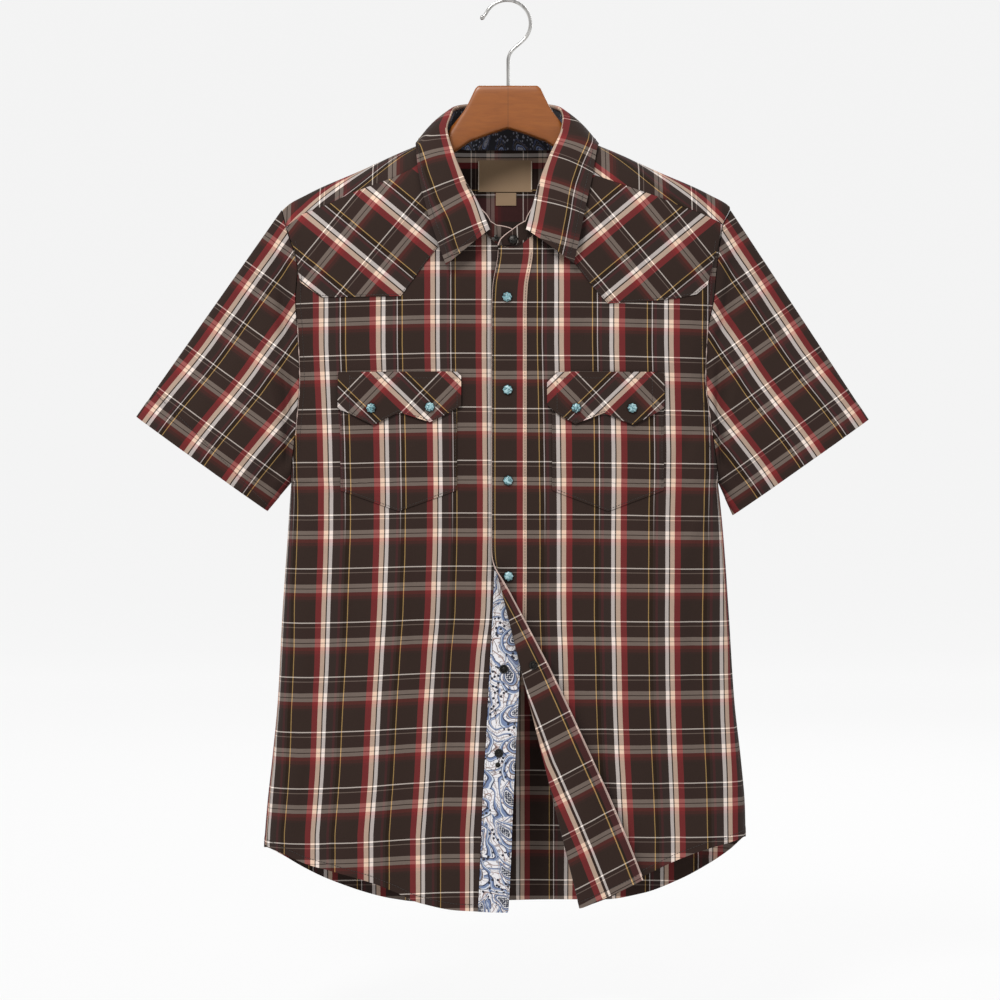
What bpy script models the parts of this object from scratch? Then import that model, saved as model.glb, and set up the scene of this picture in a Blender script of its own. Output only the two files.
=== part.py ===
"""A short-sleeved western snap shirt on a contoured wooden hanger.

The origin is the inside of the hook's top, where the hook hangs on its rod. +Z is up, the shirt faces -Y
and +X is the wearer's left. Names ending in _l are on the wearer's left, and _r on the right.

Each panel is a sheet of points on one of three surfaces (front, back, shoulder), given thickness. What is
sewn on a panel takes its points from the same surface, moved outward. Tables are in millimetres, with z
measured from the origin, so that most heights are negative.
"""

import math

import bmesh
import bpy
import numpy as np
from mathutils import Vector

MM = 0.001

# Cloth
CLOTH = 1.4  # wall of a body panel
LAYER = 1.2  # wall of a piece that is sewn onto a panel
GAP = 0.8  # clear space between two layers
SEAM = 0.7  # clear space between the edges of two panels
SIDE_GAP = 0.6  # from the plane of the hanger to the middle of a panel's side edge
ON_PANEL = CLOTH / 2 + GAP + LAYER / 2  # from a panel's middle to that of a layer on it
ON_LAYER = ON_PANEL + LAYER + GAP  # the same for a second layer

# Armholes: closed at the shoulder point and at the armpit, and oval between them
SHOULDER_Z = -217
ARMPIT_Z = -500
ARM_DEPTH = 20  # half of the sleeve's depth, front to back
ARM_BEND = 3.0  # exponent of the oval
ARM_GAP = 1.0  # clear space between a side edge and the middle of the sleeve's end

# Body section: from the side edge round to the middle of the front or back
BODY_BEND = 2.6
EDGE_ROUND = 0.035  # share of the section left off at a side edge above the armpit, which makes it sharper
EDGE_ROUND_FADE = 60
SHOULDER_ARCH = 70  # height over which the body reaches its full depth below the shoulder line

# The two side edges, as seen from the front: armhole seam, then side seam
#   z      minus_x  plus_x
SIDE_EDGES = (
    (-217, -234, 230),
    (-236, -229, 221),
    (-280, -217, 215),
    (-311, -219, 212),
    (-342, -217, 206),
    (-394, -215, 204),
    (-435, -218, 209),
    (-500, -225, 218),
    (-560, -229, 224),
    (-632, -234, 229),
    (-726, -239, 235),
    (-789, -245, 242),
    (-835, -250, 246),
    (-874, -253, 247),
    (-950, -256, 250),
)

# The top of the shoulders, from the middle of the neck outward
#   x     z
SHOULDER_LINE = (
    (0, -118),
    (40, -127),
    (70, -140),
    (118, -160),
    (154, -176.5),
    (194, -193.5),
    (211, -202),
    (226, -210),
    (234, -217),
)

# How far the middle of the front and of the back stand from the plane of the hanger
#   z     front  back
DEPTHS = (
    (-118, 45, 42),
    (-300, 45, 42),
    (-500, 46, 44),
    (-700, 48, 47),
    (-945, 51, 51),
)

# The upper edge of both fronts: shoulder seams and neckline
#   x     z
FRONT_TOP = (
    (-234, -239),
    (-212, -223),
    (-184, -213),
    (-162, -202.5),
    (-115, -185.5),
    (-93, -175),
    (-73, -167),
    (-64, -190),
    (-50, -214),
    (-30, -240),
    (-12, -255),
    (0, -259),
    (12, -257),
    (30, -242),
    (50, -219),
    (64, -198),
    (73, -179),
    (85, -183.5),
    (125, -196.5),
    (155, -206.5),
    (173, -214),
    (199, -222.5),
    (219, -231.5),
    (230, -239),
)

# The neck hole in the yoke: distance back from the shoulder line, negative to the front
#   x    behind
YOKE_NECK = (
    (-73, -24),
    (-71, -13),
    (-69.5, -5),
    (-65, 6),
    (-55, 15),
    (-35, 24),
    (0, 31),
    (35, 24),
    (55, 15),
    (65, 6),
    (69.5, -5),
    (71, -16),
    (73, -36),
)

# The lower edges of both fronts and of the back: a shirt tail
#   x     front  back
HEM = (
    (-256, -873, -873),
    (-230, -883, -890),
    (-207, -892, -905),
    (-182, -898.5, -918),
    (-142, -909, -933),
    (-118, -918, -939),
    (-90, -930, -942.5),
    (-50, -938, -942),
    (0, -940, -941),
    (60, -937, -940),
    (100, -926, -940),
    (141, -902, -933),
    (178, -885.5, -918.5),
    (205, -876.5, -903.5),
    (232, -870, -884),
    (250, -864, -864),
)

# The edges of the overlapping fronts, as cut: the left one (over) and the right one (under)
#   z      over   under
FRONT_EDGES = (
    (-945, -1, 0),
    (-886, -7, 3),
    (-832, -11, 5),
    (-733, -16, 10),
    (-693, -17, 12),
    (-580, -16.5, 17),
    (-325, -16.5, 19),
    (-300, -15.5, 19),
    (-262, -10, 19),
    (-240, -10, 19),
)
UNDER_DROP = 3.9  # how far the right front lies behind the left where they overlap
OVERLAP_FROM = -78
OVERLAP_FULL = -36

# The left front's lower corner, folded back along a straight line with its inside showing
FOLD_TOP = (-15.5, -574)
FOLD_FOOT = (73, -934)
FOLD_RADIUS = 4.6
FOLD_EASE = 48  # length below the top of the fold over which it turns right over
#   Rows of the left front and its placket: end share of the height, count; closest where the fold starts
OVER_ROWS = ((0.12, 6), (0.44, 7), (0.54, 9), (0.65, 4), (1.0, 6))
UNDER_ROWS = ((0.12, 6), (1.0, 16))
BEND_SLACK = 1.5  # extra width of the bend's columns
BEND_LIMITS = (9, 4)  # least distance from the edge to the bend's columns, where the fold meets the edge

#   Columns of each front, as shares of its width: how many up to where its strip starts, and after it
UNDER_COLUMNS = ((0.6364, 8), (0.672, 6))
OVER_COLUMNS = ((0.6797, 7), (0.7186, 5))
SIDE_CLOSER = 1.3  # how much closer together the columns are at the side edge

YOKE_BACK_Z = -300  # seam across the back
BACK_ROWS = 18
BACK_COLUMNS = 18
BACK_BOW = 1.25  # angle over which the back's columns bunch up toward its side edges
HEM_CORNER_Z = -865
SETTLE_PASSES = 8  # rounds that bring a grid's x and z to agree on a curved edge
#   Columns of half of the back yoke, as shares of its half width: shoulder, then round the neck hole
YOKE_SHOULDER = (0.318, 7)
YOKE_AT_NECK = (0.309, 0.302, 0.285)
YOKE_NECK_BACK = (0.26, 3)
NECK_TURN = 0.5  # angle over the shoulders' arch that the rows beside the neck hole take

PLACKET_WIDTH = 35.5
FACING_WIDTH = 31
FACING_TOP = -500

# Soft folds in the body: a trough (negative) or ridge along a line, fading at its ends
#   x0    z0    x1    z1   width  height
FRONT_FOLDS = (
    (-208, -400, -150, -560, 20, -5),
    (-196, -640, -216, -860, 24, -6),
    (-120, -560, -136, -900, 30, 4),
    (-60, -640, -70, -900, 22, -4),
    (188, -330, 205, -560, 13, 5),
    (196, -610, 214, -850, 26, -6),
    (120, -600, 126, -880, 30, 4),
    (64, -440, 60, -640, 26, -3),
)
BACK_FOLDS = (
    (-200, -380, -130, -560, 24, -6),
    (200, -380, 130, -560, 24, -6),
    (-150, -560, -170, -920, 30, 5),
    (150, -560, 165, -900, 30, 5),
    (-40, -420, -50, -920, 34, 4),
    (60, -520, 64, -930, 30, -5),
)

# Sleeves: the two corners of each cuff, seen from the front
CUFF_R = ((-386, -431.5), (-250.5, -529))
CUFF_L = ((374.5, -434.5), (234, -533.5))
CUFF_DEPTH = 15
SLEEVE_BEND = 2.4
SLEEVE_SWELL = 4  # height of the waves that run along a sleeve
SLEEVE_WAVES = (3, 0.8)  # how many of them there are across half a sleeve, and where they start
SLEEVE_SIDES = 24
SLEEVE_ROWS = 9

# Front yokes: the lower edge, from the armhole to the neck
#   x     z
YOKE_R_LOWER = (
    (-229, -240),
    (-216, -281),
    (-214, -293),
    (-192, -309.5),
    (-110, -309),
    (-78, -266),
    (-57, -239),
)
YOKE_L_LOWER = (
    (46, -240),
    (68, -275),
    (88, -301),
    (102, -316.5),
    (142, -314),
    (171, -311),
    (194, -306),
    (205, -296),
    (214, -262),
    (219, -245),
)

YOKE_ROWS = 6
YOKE_COLUMNS = 7
YOKE_INSET = 1.5  # from a front yoke's edge in to the middle of the armhole seam

# Pockets and flaps; a pocket's sides are straight and its foot is pointed
POCKET_TOP = -399
POCKET_SIDE_FOOT = -508
POCKET_POINT = -529.5
POCKET_R = (-172, -52.5)
POCKET_L = (45, 159.5)
POCKET_GRID = (8, 6)  # columns and rows
FLAP_TOP = -386.5
FLAP_ROWS = 4
FLAP_SEAM = 13  # height over which a flap comes off the panel and onto its pocket
#   x      lower edge   upper edge
FLAP_R = (
    (-174.2, -424, FLAP_TOP),
    (-162, -429, FLAP_TOP),
    (-138.3, -441.2, FLAP_TOP),
    (-111.7, -428, FLAP_TOP),
    (-80, -438.2, FLAP_TOP),
    (-65.6, -431, FLAP_TOP),
    (-52.5, -424, FLAP_TOP),
    (-48.3, -421, -391),
)
FLAP_L = (
    (39.8, -420.5, -397),
    (50, -429.5, -387),
    (68.5, -440, FLAP_TOP),
    (98, -428.8, FLAP_TOP),
    (127.8, -441, FLAP_TOP),
    (147.3, -431, FLAP_TOP),
    (159.8, -423.5, -388),
)

# Collar: stations from the front end of each half to the middle of the back. roll is the line where
# the collar folds over, and edge is its free edge. seat is the neck seam below it: on the front (x, z)
# for the first three stations, and on the yoke (x, distance behind the shoulder line) for the rest.
FRONT_STATIONS = 3
#    roll x     y     z         edge x     y      z         seat
COLLAR_R = (
    ((-18.5, -52, -241.5), (-63.5, -53.5, -278), (-20.5, -247.9)),
    ((-31.8, -50, -212), (-73.7, -54, -249.5), (-47.5, -213)),
    ((-44.2, -44, -190), (-84, -50, -217.5), (-60, -190.5)),
    ((-56.7, -33, -159), (-91.5, -42, -184.5), (-70, -19)),
    ((-63, -17, -133), (-95, -23, -154), (-68, -6)),
    ((-60, -6, -120), (-95.5, -6, -147.5), (-66.5, 0)),
    ((-56, 6, -109.5), (-94, 10, -145), (-64.5, 3.5)),
    ((-36, 32, -102), (-70, 48, -144), (-44, 18.5)),
)
COLLAR_L = (
    ((18.2, -52, -241.5), (67.2, -53.5, -276), (20, -250.3)),
    ((25.4, -51, -216.5), (73.4, -54, -247.5), (42, -224)),
    ((32.7, -45, -190), (78.6, -50.5, -220.5), (57.5, -202)),
    ((43, -35, -163), (86, -42, -188), (70, -30)),
    ((55, -18, -135), (92, -23, -154), (68, -8)),
    ((57, -6, -121), (94, -6, -148), (66.5, 0)),
    ((54, 6, -110), (91, 10, -145), (64.5, 3.5)),
    ((34, 32, -102), (70, 48, -144), (44, 18.5)),
)
COLLAR_BACK = ((0, 44, -99), (0, 60, -145), (0, 28.5))
#   The stand's tabs past each front end: lower edge x, z, then upper edge x, z
TAB_UNDER = ((9, -256, 8, -247.5), (0, -256.5, -1, -244), (-13, -251, -14, -243.5))
TAB_OVER = (
    (12.5, -251.5, 12.5, -245),
    (3, -256, 3, -244),
    (-4, -256.5, -4, -248),
    (-9, -256, -9, -252),
)
TAB_PROUD = 4.5  # how far a tab's upper edge leans out past its lower one
COLLAR_TURN = 2.2  # radius of the fold at the roll line
COLLAR_LAP = 1.5  # height of the collar on the inside, down to the stand's upper edge
COLLAR_BULGE = 3
COLLAR_COLUMNS = 37
COLLAR_ANGLES = (-90, -30, 30)  # rows over the roll, in degrees
COLLAR_SHARES = (0, 0.3, 0.65, 1)  # rows from the roll to the free edge
COLLAR_REST = 0.6  # space under the collar where it lies on a yoke, besides GAP

# Snap caps: x, z on the cut left front
PLACKET_SNAPS = ((-1, -310), (-0.5, -405), (0, -498), (0.4, -596), (-4, -694), (2, -791))
FLAP_SNAPS_R = ((-139.9, -423.7), (-80, -422.7))
FLAP_SNAPS_L = ((69.5, -423.7), (126.8, -423.7))
COLLAR_SNAP = (94.9, 42)  # percent along the stand, and up it
CAP_RADIUS = 5.1
CAP_HEIGHT = 3.0
STUDS = ((-4.5, -691), (-9.5, -777))
STUD_COLLAR = (4.5, 50)
STUD_RADIUS = 3.6
STUD_HEIGHT = 2.0
SNAP_SEAT = 0.35  # clear space under a snap cap or stud
STAND_SEAT = 0.5  # the same on the curved stand

# Neck label and size tab, on the inside of the back yoke: centre x, top z, width, height
LABEL = (-3, -160, 57, 33)
SIZE_TAB = (-2, -194, 21.5, 13.5)
LABEL_WALL = 1.0
LABEL_GRID = (4, 3)  # columns and rows

# Hanger: half of its outline from the front, and half of its depth
#   x     top     bottom  depth
HANGER = (
    (0, -87.5, -132, 8.5),
    (15, -87.5, -134, 8.5),
    (30, -87.5, -140.5, 8.5),
    (33.5, -90, -142, 8.5),
    (37.5, -98, -144.5, 8.5),
    (45, -112.5, -149, 8.5),
    (54, -124, -155.5, 8.5),
    (62, -134, -160, 8.4),
    (67, -147, -163, 8),
    (72, -150, -166, 8.2),
    (95, -155, -175, 9),
    (118, -162.3, -185, 9.5),
    (154, -177.9, -201.5, 10),
    (194, -195, -218, 10),
    (206, -201, -222, 8),
    (212, -206, -217, 4),
)
HANGER_ROUNDS = (45, 68)  # stretch over which the flat block turns into round arms
HANGER_SQUARE = 0.55  # exponent of the block's section; 1 is an ellipse
HANGER_SIDES = 12
WIRE_RADIUS = 1.8
HOOK_RADIUS = 24.3  # of the wire's middle
HOOK_CENTRE = (-1, -22.5)
HOOK_BALL = 2.6
HOOK_TURN = (-50, 156, 12)  # start, end and step of its round stretch, in degrees
HOOK_POINTS = 44
#   The wire's middle below and past the round stretch
#   x     z
HOOK_FOOT = ((0, -87.1), (0, -78), (0, -68), (0.1, -60.5), (1.6, -54.5), (5.6, -49))
HOOK_TIP = ((-25.8, -15.5), (-28.5, -18.2))


def smooth_curve(table, column=1):
    """A curve through one column of a table against its first, with no overshoot."""
    rows = sorted(table)
    knots = np.array([row[0] for row in rows], float)
    values = np.array([row[column] for row in rows], float)
    step = np.diff(knots)
    slope = np.diff(values) / step
    tangent = np.zeros_like(values)
    for i in range(1, len(values) - 1):
        if slope[i - 1] * slope[i] > 0:
            tangent[i] = 2 / (1 / slope[i - 1] + 1 / slope[i])
    tangent[0] = slope[0]
    tangent[-1] = slope[-1]

    def at(x):
        x = np.clip(x, knots[0], knots[-1])
        i = np.clip(np.searchsorted(knots, x, side="right") - 1, 0, len(step) - 1)
        s = (x - knots[i]) / step[i]
        return (
            values[i] * (1 + 2 * s) * (1 - s) ** 2
            + tangent[i] * step[i] * s * (1 - s) ** 2
            + values[i + 1] * s * s * (3 - 2 * s)
            + tangent[i + 1] * step[i] * s * s * (s - 1)
        )

    return at


def straight_curve(table, column=1):
    """A curve of straight runs through one column of a table against its first."""
    rows = sorted(table)
    knots = [row[0] for row in rows]
    values = [row[column] for row in rows]
    return lambda x: np.interp(x, knots, values)


def ease(x, start, end):
    """0 before start, 1 after end, smooth between them."""
    s = np.clip((np.asarray(x, float) - start) / (end - start), 0, 1)
    return s * s * (3 - 2 * s)


minus_edge = smooth_curve(SIDE_EDGES, 1)
plus_edge = smooth_curve(SIDE_EDGES, 2)
front_depth = smooth_curve(DEPTHS, 1)
back_depth = smooth_curve(DEPTHS, 2)
front_top = straight_curve(FRONT_TOP)
front_hem = smooth_curve(HEM, 1)
back_hem = smooth_curve(HEM, 2)
over_edge = smooth_curve(FRONT_EDGES, 1)
under_edge = smooth_curve(FRONT_EDGES, 2)
half_line = smooth_curve(SHOULDER_LINE)


def shoulder_line(x):
    return half_line(np.abs(x))


def oval(share, bend):
    """Height of a quarter oval: 0 where share is 0 and 1 where it is 1 or more."""
    return (1 - (1 - np.clip(share, 0, 1)) ** bend) ** (1 / bend)


def arm_depth(drop, z):
    """Half of the sleeve's depth at the armhole."""
    half = (SHOULDER_Z - ARMPIT_Z) / 2
    return ARM_DEPTH * oval(drop / half, ARM_BEND) * oval((z - ARMPIT_Z) / half, ARM_BEND)


def section(across, z):
    """1 in the middle of the body and 0 at its side edge. The edge is rounder below the armpit."""
    reach = 1 - EDGE_ROUND * ease(z, ARMPIT_Z, ARMPIT_Z + EDGE_ROUND_FADE)
    curve = (1 - (across * reach) ** BODY_BEND) ** (1 / BODY_BEND)
    at_edge = (1 - reach**BODY_BEND) ** (1 / BODY_BEND)
    return (curve - at_edge) / (1 - at_edge)


def folds(table, x, z):
    """Depth that the soft folds of a table add at a point."""
    total = np.zeros_like(x * z)
    for x0, z0, x1, z1, width, height in table:
        length = math.hypot(x1 - x0, z1 - z0)
        along = ((x - x0) * (x1 - x0) + (z - z0) * (z1 - z0)) / length**2
        beside = ((x - x0) * (z1 - z0) - (z - z0) * (x1 - x0)) / length
        fade = ease(along, -0.15, 0.3) * (1 - ease(along, 0.75, 1.15))
        total = total + height * fade * np.exp(-((beside / width) ** 2))
    return total


def body_depth(x, z, middle, fold_table):
    """Distance of the body's cloth from the plane of the hanger."""
    centre = (minus_edge(z) + plus_edge(z)) / 2
    half = (plus_edge(z) - minus_edge(z)) / 2
    across = np.clip(np.abs(x - centre) / half, 0, 1)
    drop = np.clip(shoulder_line(x) - z, 0, None)
    arm = arm_depth(drop, z)
    deep = middle * np.sqrt(1 - (1 - np.clip(drop / SHOULDER_ARCH, 0, 1)) ** 2)
    share = section(across, z)
    return SIDE_GAP + arm + (deep - arm) * share + folds(fold_table, x, z) * share


def front(x, z):
    return np.stack([x, -body_depth(x, z, front_depth(z), FRONT_FOLDS), z], -1)


def back(x, z):
    return np.stack([x, body_depth(x, z, back_depth(z), BACK_FOLDS), z], -1)


def under_front(x, z):
    """The right front, which drops behind the left one where they overlap."""
    points = front(x, z)
    points[..., 1] += UNDER_DROP * ease(x, OVERLAP_FROM, OVERLAP_FULL)
    return points


def past_fold(x, z):
    """How far a point of the left front, as cut, lies beyond the fold and down along it."""
    run = FOLD_FOOT[0] - FOLD_TOP[0]
    fall = FOLD_FOOT[1] - FOLD_TOP[1]
    length = math.hypot(run, fall)
    down = ((x - FOLD_TOP[0]) * run + (z - FOLD_TOP[1]) * fall) / length
    past = ((x - FOLD_TOP[0]) * fall - (z - FOLD_TOP[1]) * run) / length + FOLD_RADIUS
    return past, down, run / length, fall / length


def over_front(x, z):
    """The left front, with the corner beyond the fold line turned back over it."""
    past, down, along_x, along_z = past_fold(x, z)
    angle = math.pi * ease(down, -10, FOLD_EASE)
    bent = np.clip(past, 0, angle * FOLD_RADIUS)
    flat = np.clip(past - angle * FOLD_RADIUS, 0, None)
    turn = bent / FOLD_RADIUS
    moved = FOLD_RADIUS * np.sin(turn) + flat * np.cos(angle)
    lifted = FOLD_RADIUS * (1 - np.cos(turn)) + flat * np.sin(angle)
    shift = np.where(past > 0, moved - past, 0)
    lift = np.where(past > 0, lifted, 0)
    points = front(x + shift * along_z, z - shift * along_x)
    points[..., 1] -= lift
    return points


def shoulder(x, behind):
    """A point on the yoke: x, and its distance below the shoulder line, negative at the front."""
    z = shoulder_line(x) - np.abs(behind)
    deep = np.where(
        behind < 0,
        -body_depth(x, z, front_depth(z), FRONT_FOLDS),
        body_depth(x, z, back_depth(z), BACK_FOLDS),
    )
    return np.stack([x, np.where(np.abs(behind) < 1e-6, 0, deep), z], -1)


def lifted(surface, a, b, distance):
    """Points of a surface moved along its normal. The normal points out of the shirt on the cut cloth."""
    step = 0.5
    across = surface(a + step, b) - surface(a - step, b)
    up = surface(a, b + step) - surface(a, b - step)
    normal = np.cross(across, up)
    normal /= np.linalg.norm(normal, axis=-1, keepdims=True)
    return surface(a, b) + normal * np.expand_dims(distance, -1)


def spread(start, end, count, power=1.0):
    """count + 1 numbers from start to end, closer together at the start where power is over 1."""
    return start + (end - start) * np.linspace(0, 1, count + 1) ** power


def material(name, color, roughness, metallic=0.0):
    made = bpy.data.materials.new(name)
    made.use_nodes = True
    shader = made.node_tree.nodes["Principled BSDF"]
    shader.inputs["Base Color"].default_value = (*color, 1)
    shader.inputs["Roughness"].default_value = roughness
    shader.inputs["Metallic"].default_value = metallic
    return made


def finished(name, mesh, finish, parent):
    made = bpy.data.objects.new(name, mesh)
    bpy.context.scene.collection.objects.link(made)
    if not mesh.materials:
        mesh.materials.append(finish)
    made.parent = parent
    return made


def cloth(name, points, thickness, finish, parent, ring=False):
    """A wall of cloth through rows of points. ring joins the last column to the first."""
    rows, columns = points.shape[:2]
    shape = bmesh.new()
    corners = [[shape.verts.new(point * MM) for point in row] for row in points]
    for i in range(rows - 1):
        for j in range(columns if ring else columns - 1):
            k = (j + 1) % columns
            a, b, c, d = corners[i][j], corners[i][k], corners[i + 1][k], corners[i + 1][j]
            for face in ((a, b, c), (a, c, d)):
                shape.faces.new(face)
    mesh = bpy.data.meshes.new(name)
    shape.to_mesh(mesh)
    shape.free()
    mesh.shade_smooth()
    made = finished(name, mesh, finish, parent)
    wall = made.modifiers.new("thickness", "SOLIDIFY")
    wall.thickness = thickness * MM
    wall.offset = 0
    return made


def turned(name, profile, steps):
    """A solid of revolution about Z from (radius, height) points that start and end on the axis."""
    shape = bmesh.new()
    line = [shape.verts.new((radius * MM, 0, height * MM)) for radius, height in profile]
    edges = [shape.edges.new(pair) for pair in zip(line, line[1:])]
    bmesh.ops.spin(
        shape,
        geom=line + edges,
        cent=(0, 0, 0),
        axis=(0, 0, 1),
        angle=2 * math.pi,
        steps=steps,
        use_merge=True,
    )
    bmesh.ops.remove_doubles(shape, verts=shape.verts, dist=1e-6)
    bmesh.ops.recalc_face_normals(shape, faces=shape.faces)
    mesh = bpy.data.meshes.new(name)
    shape.to_mesh(mesh)
    shape.free()
    mesh.shade_smooth()
    return mesh


def seat(name, mesh, surface, x, z, distance, finish, parent):
    """Places a turned piece at a distance from a surface, facing away from it."""
    place = (np.array(float(x)), np.array(float(z)))
    foot = lifted(surface, *place, distance)
    outward = Vector(foot - surface(*place))
    made = finished(name, mesh, finish, parent)
    made.location = foot * MM
    made.rotation_euler = outward.to_track_quat("Z", "Y").to_euler()
    return made


def rows_down(*stretches):
    """Shares of a panel's height: (end share, rows) for each stretch from the top."""
    shares = [0.0]
    for end, count in stretches:
        shares += list(np.linspace(shares[-1], end, count + 1)[1:])
    return np.array(shares)[:, None]


def settled(side, edge, share, top, foot, down):
    """x and z of a front's grid: rows run from the top edge to the hem, columns from side to edge."""
    x = side(-240) * (1 - share) + edge(-240) * share + 0 * down
    for _ in range(SETTLE_PASSES):
        high = top(x[:1])
        low = foot(x[-1:])
        z = high + (low - high) * down
        x = side(z) * (1 - share) + edge(z) * share
    return x, z


def side_to_strip(outer, inner):
    """Shares of a front's width for its columns, with one on each side of the strip's edge."""
    (end, outer_count), (start, inner_count) = outer, inner
    shares = [spread(0, end, outer_count, SIDE_CLOSER), spread(start, 1, inner_count)]
    return np.concatenate(shares)[None, :]


def front_head(x):
    return front_top(x) - SEAM / 2


def make_front_r(finish, parent):
    """From the side edge to the edge under the placket."""
    down = rows_down(*UNDER_ROWS)
    across = side_to_strip(*UNDER_COLUMNS)
    x, z = settled(minus_edge, under_edge, across, front_head, front_hem, down)
    cloth("front_r", under_front(x, z), CLOTH, finish, parent)


def make_front_l(finish, parent):
    """From the side edge to the fold, round the bend and over the corner beyond it."""
    slope = (FOLD_FOOT[0] - FOLD_TOP[0]) / (FOLD_TOP[1] - FOLD_FOOT[1])
    wide = math.hypot(1, slope)
    bend = (math.pi * FOLD_RADIUS + BEND_SLACK) * wide

    def bend_start(z):
        fold = FOLD_TOP[0] + slope * (FOLD_TOP[1] - z) + FOLD_RADIUS * wide
        return np.maximum(fold, over_edge(z) + BEND_LIMITS[0])

    def bend_end(z):
        fold = FOLD_TOP[0] + slope * (FOLD_TOP[1] - z) + FOLD_RADIUS * wide
        return np.maximum(fold - bend, over_edge(z) + BEND_LIMITS[1])

    down = rows_down(*OVER_ROWS)
    body = side_to_strip(*OVER_COLUMNS)
    columns = []
    for side, edge, share in (
        (plus_edge, bend_start, body),
        (bend_start, bend_end, spread(0, 1, 6)[None, 1:]),
        (bend_end, over_edge, spread(0, 1, 3)[None, 1:]),
    ):
        columns.append(settled(side, edge, share, front_head, front_hem, down))
    x = np.concatenate([column[0] for column in columns], 1)
    z = np.concatenate([column[1] for column in columns], 1)
    cloth("front_l", over_front(x, z), CLOTH, finish, parent)


def make_back(finish, parent):
    down = spread(0, 1, BACK_ROWS)[:, None]
    across = np.sin(spread(-BACK_BOW, BACK_BOW, BACK_COLUMNS))[None, :] / math.sin(BACK_BOW)
    foot = back_hem(across * plus_edge(HEM_CORNER_Z))
    z = YOKE_BACK_Z - SEAM + (foot - YOKE_BACK_Z + SEAM) * down
    half = np.where(across < 0, -minus_edge(z), plus_edge(z))
    cloth("back", back(across * half, z), CLOTH, finish, parent)


def over_arch(turn):
    """Distance behind the shoulder line for an angle over its arch, straight down past a quarter turn."""
    flat = np.clip(np.abs(turn) - math.pi / 2, 0, None)
    round_part = 1 - np.cos(np.clip(np.abs(turn), 0, math.pi / 2))
    return np.sign(turn) * SHOULDER_ARCH * (round_part + flat)


def arch_turn(behind):
    """The angle that over_arch turns into a distance behind the shoulder line."""
    share = np.abs(behind) / SHOULDER_ARCH
    turn = np.arccos(1 - np.clip(share, 0, 1)) + np.clip(share - 1, 0, None)
    return np.sign(behind) * turn


def make_back_yoke(finish, parent):
    """From the seam across the back, over the shoulder line, to the shoulder seams on the front."""
    (shoulder_end, shoulder_count), (neck_end, neck_count) = YOKE_SHOULDER, YOKE_NECK_BACK
    half = np.concatenate(
        [spread(1, shoulder_end, shoulder_count), YOKE_AT_NECK, spread(neck_end, 0, neck_count)]
    )
    across = np.concatenate([-half, half[-2::-1]])[None, :]
    forward = np.abs(across) > (shoulder_end + YOKE_AT_NECK[0]) / 2

    def side(z):
        return np.where(across < 0, -minus_edge(z), plus_edge(z))

    x_end = across * side(SHOULDER_Z)
    for _ in range(SETTLE_PASSES):
        seam_z = front_top(x_end) + SEAM / 2
        x_end = across * np.where(forward, side(seam_z), side(SHOULDER_Z))
    neck = straight_curve(YOKE_NECK)(x_end)
    end = arch_turn(np.where(forward, seam_z - shoulder_line(x_end), neck))
    middle = np.where(end < 0, 0, end + NECK_TURN)
    rows = np.concatenate([spread(0, 1, 7), spread(1, 2, 6)[1:]])[:, None]
    x = across * side(ARMPIT_Z) + 0 * rows
    for _ in range(SETTLE_PASSES):
        start = arch_turn(shoulder_line(x) - YOKE_BACK_Z)
        turn = start + (middle - start) * np.clip(rows, 0, 1)
        turn = turn + (end - middle) * np.clip(rows - 1, 0, 1)
        behind = over_arch(turn)
        x = across * side(shoulder_line(x) - np.abs(behind))
    cloth("back_yoke", shoulder(x, behind), CLOTH, finish, parent)


def make_front_yoke(name, surface, lower, finish, parent):
    edge = straight_curve(lower)
    knots = [row[0] for row in lower]
    upper = [row[0] for row in FRONT_TOP if knots[0] < row[0] < knots[-1]]
    even = spread(knots[0], knots[-1], YOKE_COLUMNS)
    x = np.unique(np.concatenate([knots, upper, even]))[None, :]
    top = front_top(x) - SEAM / 2
    z = top + (edge(x) - top) * spread(0, 1, YOKE_ROWS)[:, None]
    x = np.clip(x, minus_edge(z) + YOKE_INSET, plus_edge(z) - YOKE_INSET)
    cloth(name, lifted(surface, x, z, ON_PANEL + 0 * x), LAYER, finish, parent)


def make_sleeve(name, edge, cuff, finish, parent):
    """A tube from the armhole seam to the cuff."""
    around = spread(0, 2 * math.pi, SLEEVE_SIDES)[None, :-1]
    down = spread(0, 1, SLEEVE_ROWS)[:, None]
    middle = (SHOULDER_Z + ARMPIT_Z) / 2
    half = (SHOULDER_Z - ARMPIT_Z) / 2
    outward = math.copysign(1, cuff[0][0])
    height = np.sign(np.cos(around)) * np.abs(np.cos(around)) ** (2 / SLEEVE_BEND)
    z = middle + half * height
    x = edge(z) + outward * (ARM_GAP + CLOTH / 2)
    face = np.sign(np.sin(around))
    depth = arm_depth(np.clip(SHOULDER_Z - z, 0, None), z) + SIDE_GAP
    root = np.stack([x, face * depth, z], -1)
    (top_x, top_z), (low_x, low_z) = cuff
    thick = face * np.abs(np.sin(around)) ** (2 / SLEEVE_BEND)
    end = np.stack(
        [
            (top_x + low_x) / 2 + (top_x - low_x) / 2 * height,
            CUFF_DEPTH * thick,
            (top_z + low_z) / 2 + (top_z - low_z) / 2 * height,
        ],
        -1,
    )
    down = down[..., None]
    points = root * (1 - down) + end * down
    wave = np.cos(SLEEVE_WAVES[0] * height + SLEEVE_WAVES[1])
    points[..., 1] += SLEEVE_SWELL * thick * np.sin(math.pi * down[..., 0]) * wave
    cloth(name, points, CLOTH, finish, parent, ring=True)


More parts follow.
